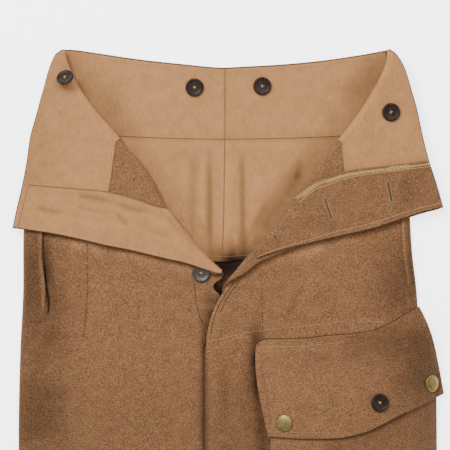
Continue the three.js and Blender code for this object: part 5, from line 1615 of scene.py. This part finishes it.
liningPaths = []
for name in fronts:
    leg, side = legs[name], fronts[name]["side"]
    for down in (garment["edgeInset"] + sewing["fromEdge"], garment["liningDeep"] - sewing["fromFoot"]):
        u = np.linspace(0.02, 1, 90)
        x, y = backLiningPlan(side, leg, np.full_like(u, down), u)
        liningPaths.append(faced(backLiningHeight, x, y, drillTop))
    down = np.linspace(8, 88, 40)
    x, y = backLiningPlan(side, leg, down, np.full_like(down, 1 - sewing["fromSeam"] / garment["waistHalf"]))
    liningPaths.append(faced(backLiningHeight, x, y, drillTop))
    t = np.linspace(0.02, 0.93, 60)
    x, y = seatPlan(side, t, np.full_like(t, 1 - sewing["fromSeam"] / seatLining["wide"]))
    liningPaths.append(faced(seatHeight, x, y, drillTop))
    u = np.linspace(0.3, 1, 60)
    x, y = seatPlan(side, np.full_like(u, 0.955), u)
    liningPaths.append(faced(seatHeight, x, y, drillTop))
    sizes = leafLining[name]
    over = onWool + drill + sewing["above"]
    past = np.linspace(2, sizes["reachAtWaist"] - sewing["fromEdge"], 80)
    along = leafLiningAlong(name, 0.0, past) + sewing["fromEdge"]
    liningPaths.append(onLeaf(fronts[name], along, foldArc(along) + past, over))
    t = 0.975
    reach = mix(sizes["reachAtWaist"], sizes["reachAtLower"], t ** leafLining["spread"])
    past = np.linspace(0, reach - 2, 40)
    along = leafLiningAlong(name, t, past)
    liningPaths.append(onLeaf(fronts[name], along, foldArc(along) + past, over))
for u in (0.07, 0.9):
    share = np.linspace(0.02, 0.97, 150)
    along, cut, low = facingPlace("right", share, np.full_like(share, u))
    liningPaths.append(onLeaf(fronts["right"], along, cut, low + drill + sewing["above"]))
sewPaths("stitchesLining", liningPaths, threads["tan"])


def rightFront(x, y):
    return frontHeight(fronts["right"], x, y)


def leftFront(x, y):
    return frontHeight(fronts["left"], x, y)


# Tucks and seams, and the flap's sewn edge, get thin dark lines of thread as painted shade; the top stitching
# of the left front is paler than its cloth.
seamPaths = [
    planPath(rightFront, woolTop, [(-151.8, -212), (-151, -262), (-152.4, -285), (-156, -313)]),
    planPath(rightFront, woolTop, [(-33.5, -257), (-32, -275), (-29, -290), (-24.2, -301.4)]),
    planPath(leftFront, woolTop, [(40.9, -262), (41.4, -306)]),
    planPath(leftFront, woolTop + 0.15, [(9, -256), (4, -262), (-2.5, -272), (-9, -285), (-13, -297),
                                         (-15.5, -310)]),
    planPath(leftFront, woolTop + 0.1, [(13, -257), (8.5, -262), (2, -272), (-4.5, -286)]),
]
u = np.linspace(0, 1, 120)
x, down = flapPlan(u, np.zeros_like(u))
seamPaths.append(faced(leftFront, x, -down + 1.0, woolTop))
sewPaths("seamShadeLines", seamPaths, threads["seam"])
leftLines = [
    [(-18.7, -320.1), (25.3, -309.1), (52.8, -305.8), (91.3, -302.5), (119.9, -298.8), (140.8, -297),
     (173.8, -298.1)],
    [(-19, -331.1), (-3.3, -323.4), (11, -315.7), (27.5, -314.6)],
    [(-18.7, -325.6), (-9.9, -325.6)],
]
palePaths = [planPath(leftFront, woolTop, line) for line in leftLines]


# A line of stitching across the flap, so many millimetres below its sewn edge.
def acrossFlap(start, end, below, places):
    u = np.linspace(start, end, places)
    x, down = flapPlan(u, np.full_like(u, below / mapPocket["flapTall"]))
    return faced(flapHeight, x, -down, woolTop)


palePaths += [acrossFlap(0.02, 0.52, 8.0, 90), acrossFlap(0.06, 0.42, 97.0, 90)]
sewPaths("stitchesPale", palePaths, threads["orange"])
woolPaths = [acrossFlap(0.5, 0.99, 9.5, 70)]
# Round the flap's other three edges.
flapRim = {"u": (0.033, 0.967), "v": (0.1, 0.93), "down": 50, "across": 110}
(u0, u1), (v0, v1), down, across = flapRim["u"], flapRim["v"], flapRim["down"], flapRim["across"]
rimU = np.concatenate([np.full(down, u0), np.linspace(u0, u1, across)[1:-1], np.full(down, u1)])
rimV = np.concatenate([np.linspace(v0, v1, down), np.full(across - 2, v1), np.linspace(v1, v0, down)])
x, down = flapPlan(rimU, rimV)
woolPaths.append(faced(flapHeight, x, -down, woolTop))
for name in fronts:
    leg, side = legs[name], fronts[name]["side"]
    heightAt = rightFront if name == "right" else leftFront
    y = -(length - sewing["fromHem"])
    inset = side * sewing["fromSide"]
    x = np.linspace(float(leg["outerX"](-y)) - inset, float(leg["innerX"](-y)) + inset, 90)
    woolPaths.append(faced(heightAt, x, np.full_like(x, y), woolTop))
y = -np.linspace(360, 566, 80)
woolPaths.append(faced(bagHeight, bagRightAt(-y) - sewing["fromBagSide"], y, woolTop))
x = np.linspace(58, 216, 80)
woolPaths.append(faced(bagHeight, x, np.full_like(x, sewing["fromBagFoot"] - mapPocket["bagFoot"]), woolTop))
sewPaths("stitchesWool", woolPaths, threads["brown"])


# A line along a facing at a share of its width, so far above it.
def alongFacing(name, share, u, off):
    along, cut, low = facingPlace(name, share, np.broadcast_to(u, share.shape))
    return onLeaf(fronts[name], along, cut, low + flyFacing[name]["wall"] + off)


# Overlocking over the wool facing's inner edge.
overlocked = np.linspace(0.0, 0.62, 240)
for i in range(2):
    sewPaths(f"overlock{i}", [alongFacing("left", overlocked, 0.065, 0.1)], threads["gold"])
sewPaths("overlockEdge", [alongFacing("left", overlocked, 0.122, 0.2)], threads["gold"])
flyLine = [alongFacing("left", np.linspace(0.30, 0.98, 150), 0.92, 0.12),
           alongFacing("left", np.linspace(0.0, 0.30, 60), 0.92, 0.08)]
sewPaths("flyEdgeStitches", flyLine, threads["orange"])
# A facing's free edge shows as a thin shaded line on what lies under it.
shadePaths = [alongFacing("right", np.linspace(0.02, 0.98, 220), -0.012, -drill + 0.2),
              alongFacing("right", np.full(60, 0.014), np.linspace(0.03, 0.97, 60), 0.0)]
sewPaths("facingShade", shadePaths, threads["fold"])

# Buttonholes in the wool facing: worked thread round a slit, between two places in plan, with the slit itself
# a line of near-black thread as painted shade. Of the last one only an end shows.
buttonhole = {
    "places": [((108.6, -160.5), (117.5, -186)), ((178.3, -142.5), (183.2, -167)),
               ((54, -202.5), (56.5, -207.5))],
    "round": 2.6, "halfWide": 1.7, "above": 0.12, "slitFrom": 0.12, "slitTo": 0.92,
}
leftOut, leftRun = np.array(fronts["left"]["out"]), np.array(fronts["left"]["run"])


def onLeftFacing(x, y, off):
    d = np.stack([x, y], -1) - np.array(fronts["left"]["start"])
    along = d @ leftRun
    past = d @ leftOut - fronts["left"]["foldAt"](along)
    rows = flyFacing["left"]["rows"]
    share = curveThrough([(row[0], i / (len(rows) - 1)) for i, row in enumerate(rows)])(along)
    return onLeaf(fronts["left"], along, foldArc(along) + past, facingHeight(share) + wool + off)


rings, slits = [], []
for (ax, ay), (bx, by) in buttonhole["places"]:
    longWay = math.hypot(bx - ax, by - ay)
    ux, uy = (bx - ax) / longWay, (by - ay) / longWay
    turn = np.linspace(0, math.tau, 61)
    reachLong = longWay / 2 * np.cos(turn)
    reachWide = np.clip(buttonhole["round"] * np.sin(turn), -buttonhole["halfWide"], buttonhole["halfWide"])
    x = (ax + bx) / 2 + ux * reachLong - uy * reachWide
    y = (ay + by) / 2 + uy * reachLong + ux * reachWide
    rings.append(onLeftFacing(x, y, buttonhole["above"]))
    t = np.linspace(buttonhole["slitFrom"], buttonhole["slitTo"], 24)
    slits.append(onLeftFacing(mix(ax, bx, t), mix(ay, by, t), buttonhole["above"]))
sewPaths("buttonholeThread", rings, threads["olive"])
sewPaths("buttonholeSlitShade", slits, threads["slit"])
print("stitches sewn")

floorLook = {"size": 12.0, "under": 0.0002, "glow": 2.6, "rough": 0.9, "shade": (0.97, 0.97, 0.97, 1)}
mesh = bpy.data.meshes.new("floor")
s = floorLook["size"]
corners = [(x, y, -floorLook["under"]) for x, y in ((-s, -s), (s, -s), (s, s), (-s, s))]
mesh.from_pydata(corners, [], [(0, 1, 2, 3)])
floor = linkedPiece("floor", mesh)
floorFinish, nodes, links, shader = newMaterial("paleFloor", floorLook["rough"])
shader.inputs["Base Color"].default_value = floorLook["shade"]
shader.inputs["Emission Color"].default_value = (1, 1, 1, 1)
shader.inputs["Emission Strength"].default_value = floorLook["glow"]
mesh.materials.append(floorFinish)

# Each light's place from the middle of what is seen, its size and its power.
studio = {
    "middleDown": 0.19, "world": 1.0,
    "lights": {"overhead": ((0.2, 0.9, 1.75), 1.0, 21.0), "keyLight": ((-0.9, 1.0, 1.6), 0.8, 50.0)},
}


def areaLight(name, at, aim, size, power):
    lamp = bpy.data.lights.new(name, "AREA")
    lamp.shape, lamp.size, lamp.energy = "DISK", size, power
    holder = linkedPiece(name, lamp)
    holder.location = at
    holder.rotation_euler = (Vector(aim) - Vector(at)).to_track_quat("-Z", "Y").to_euler()


centre = (seamHome, waistHome - studio["middleDown"], 0.0)
for name, ((across, up, high), size, power) in studio["lights"].items():
    areaLight(name, (centre[0] + across, centre[1] + up, high), centre, size, power)
world = bpy.data.worlds.new("studioAir")
world.use_nodes = True
world.node_tree.nodes["Background"].inputs["Color"].default_value = (1, 1, 1, 1)
world.node_tree.nodes["Background"].inputs["Strength"].default_value = studio["world"]
bpy.context.scene.world = world

view = {"across": 0.495, "height": 3.0, "clothAt": 0.008, "down": 0.1914, "sensor": 36.0, "clipEnd": 50}
lens = bpy.data.cameras.new("viewCamera")
lens.sensor_width = view["sensor"]
lens.lens = view["sensor"] * (view["height"] - view["clothAt"]) / view["across"]
lens.clip_end = view["clipEnd"]
camera = linkedPiece("viewCamera", lens)
camera.location = (seamHome, waistHome - view["down"], view["height"])
bpy.context.scene.camera = camera
print("floor, lights and camera set")
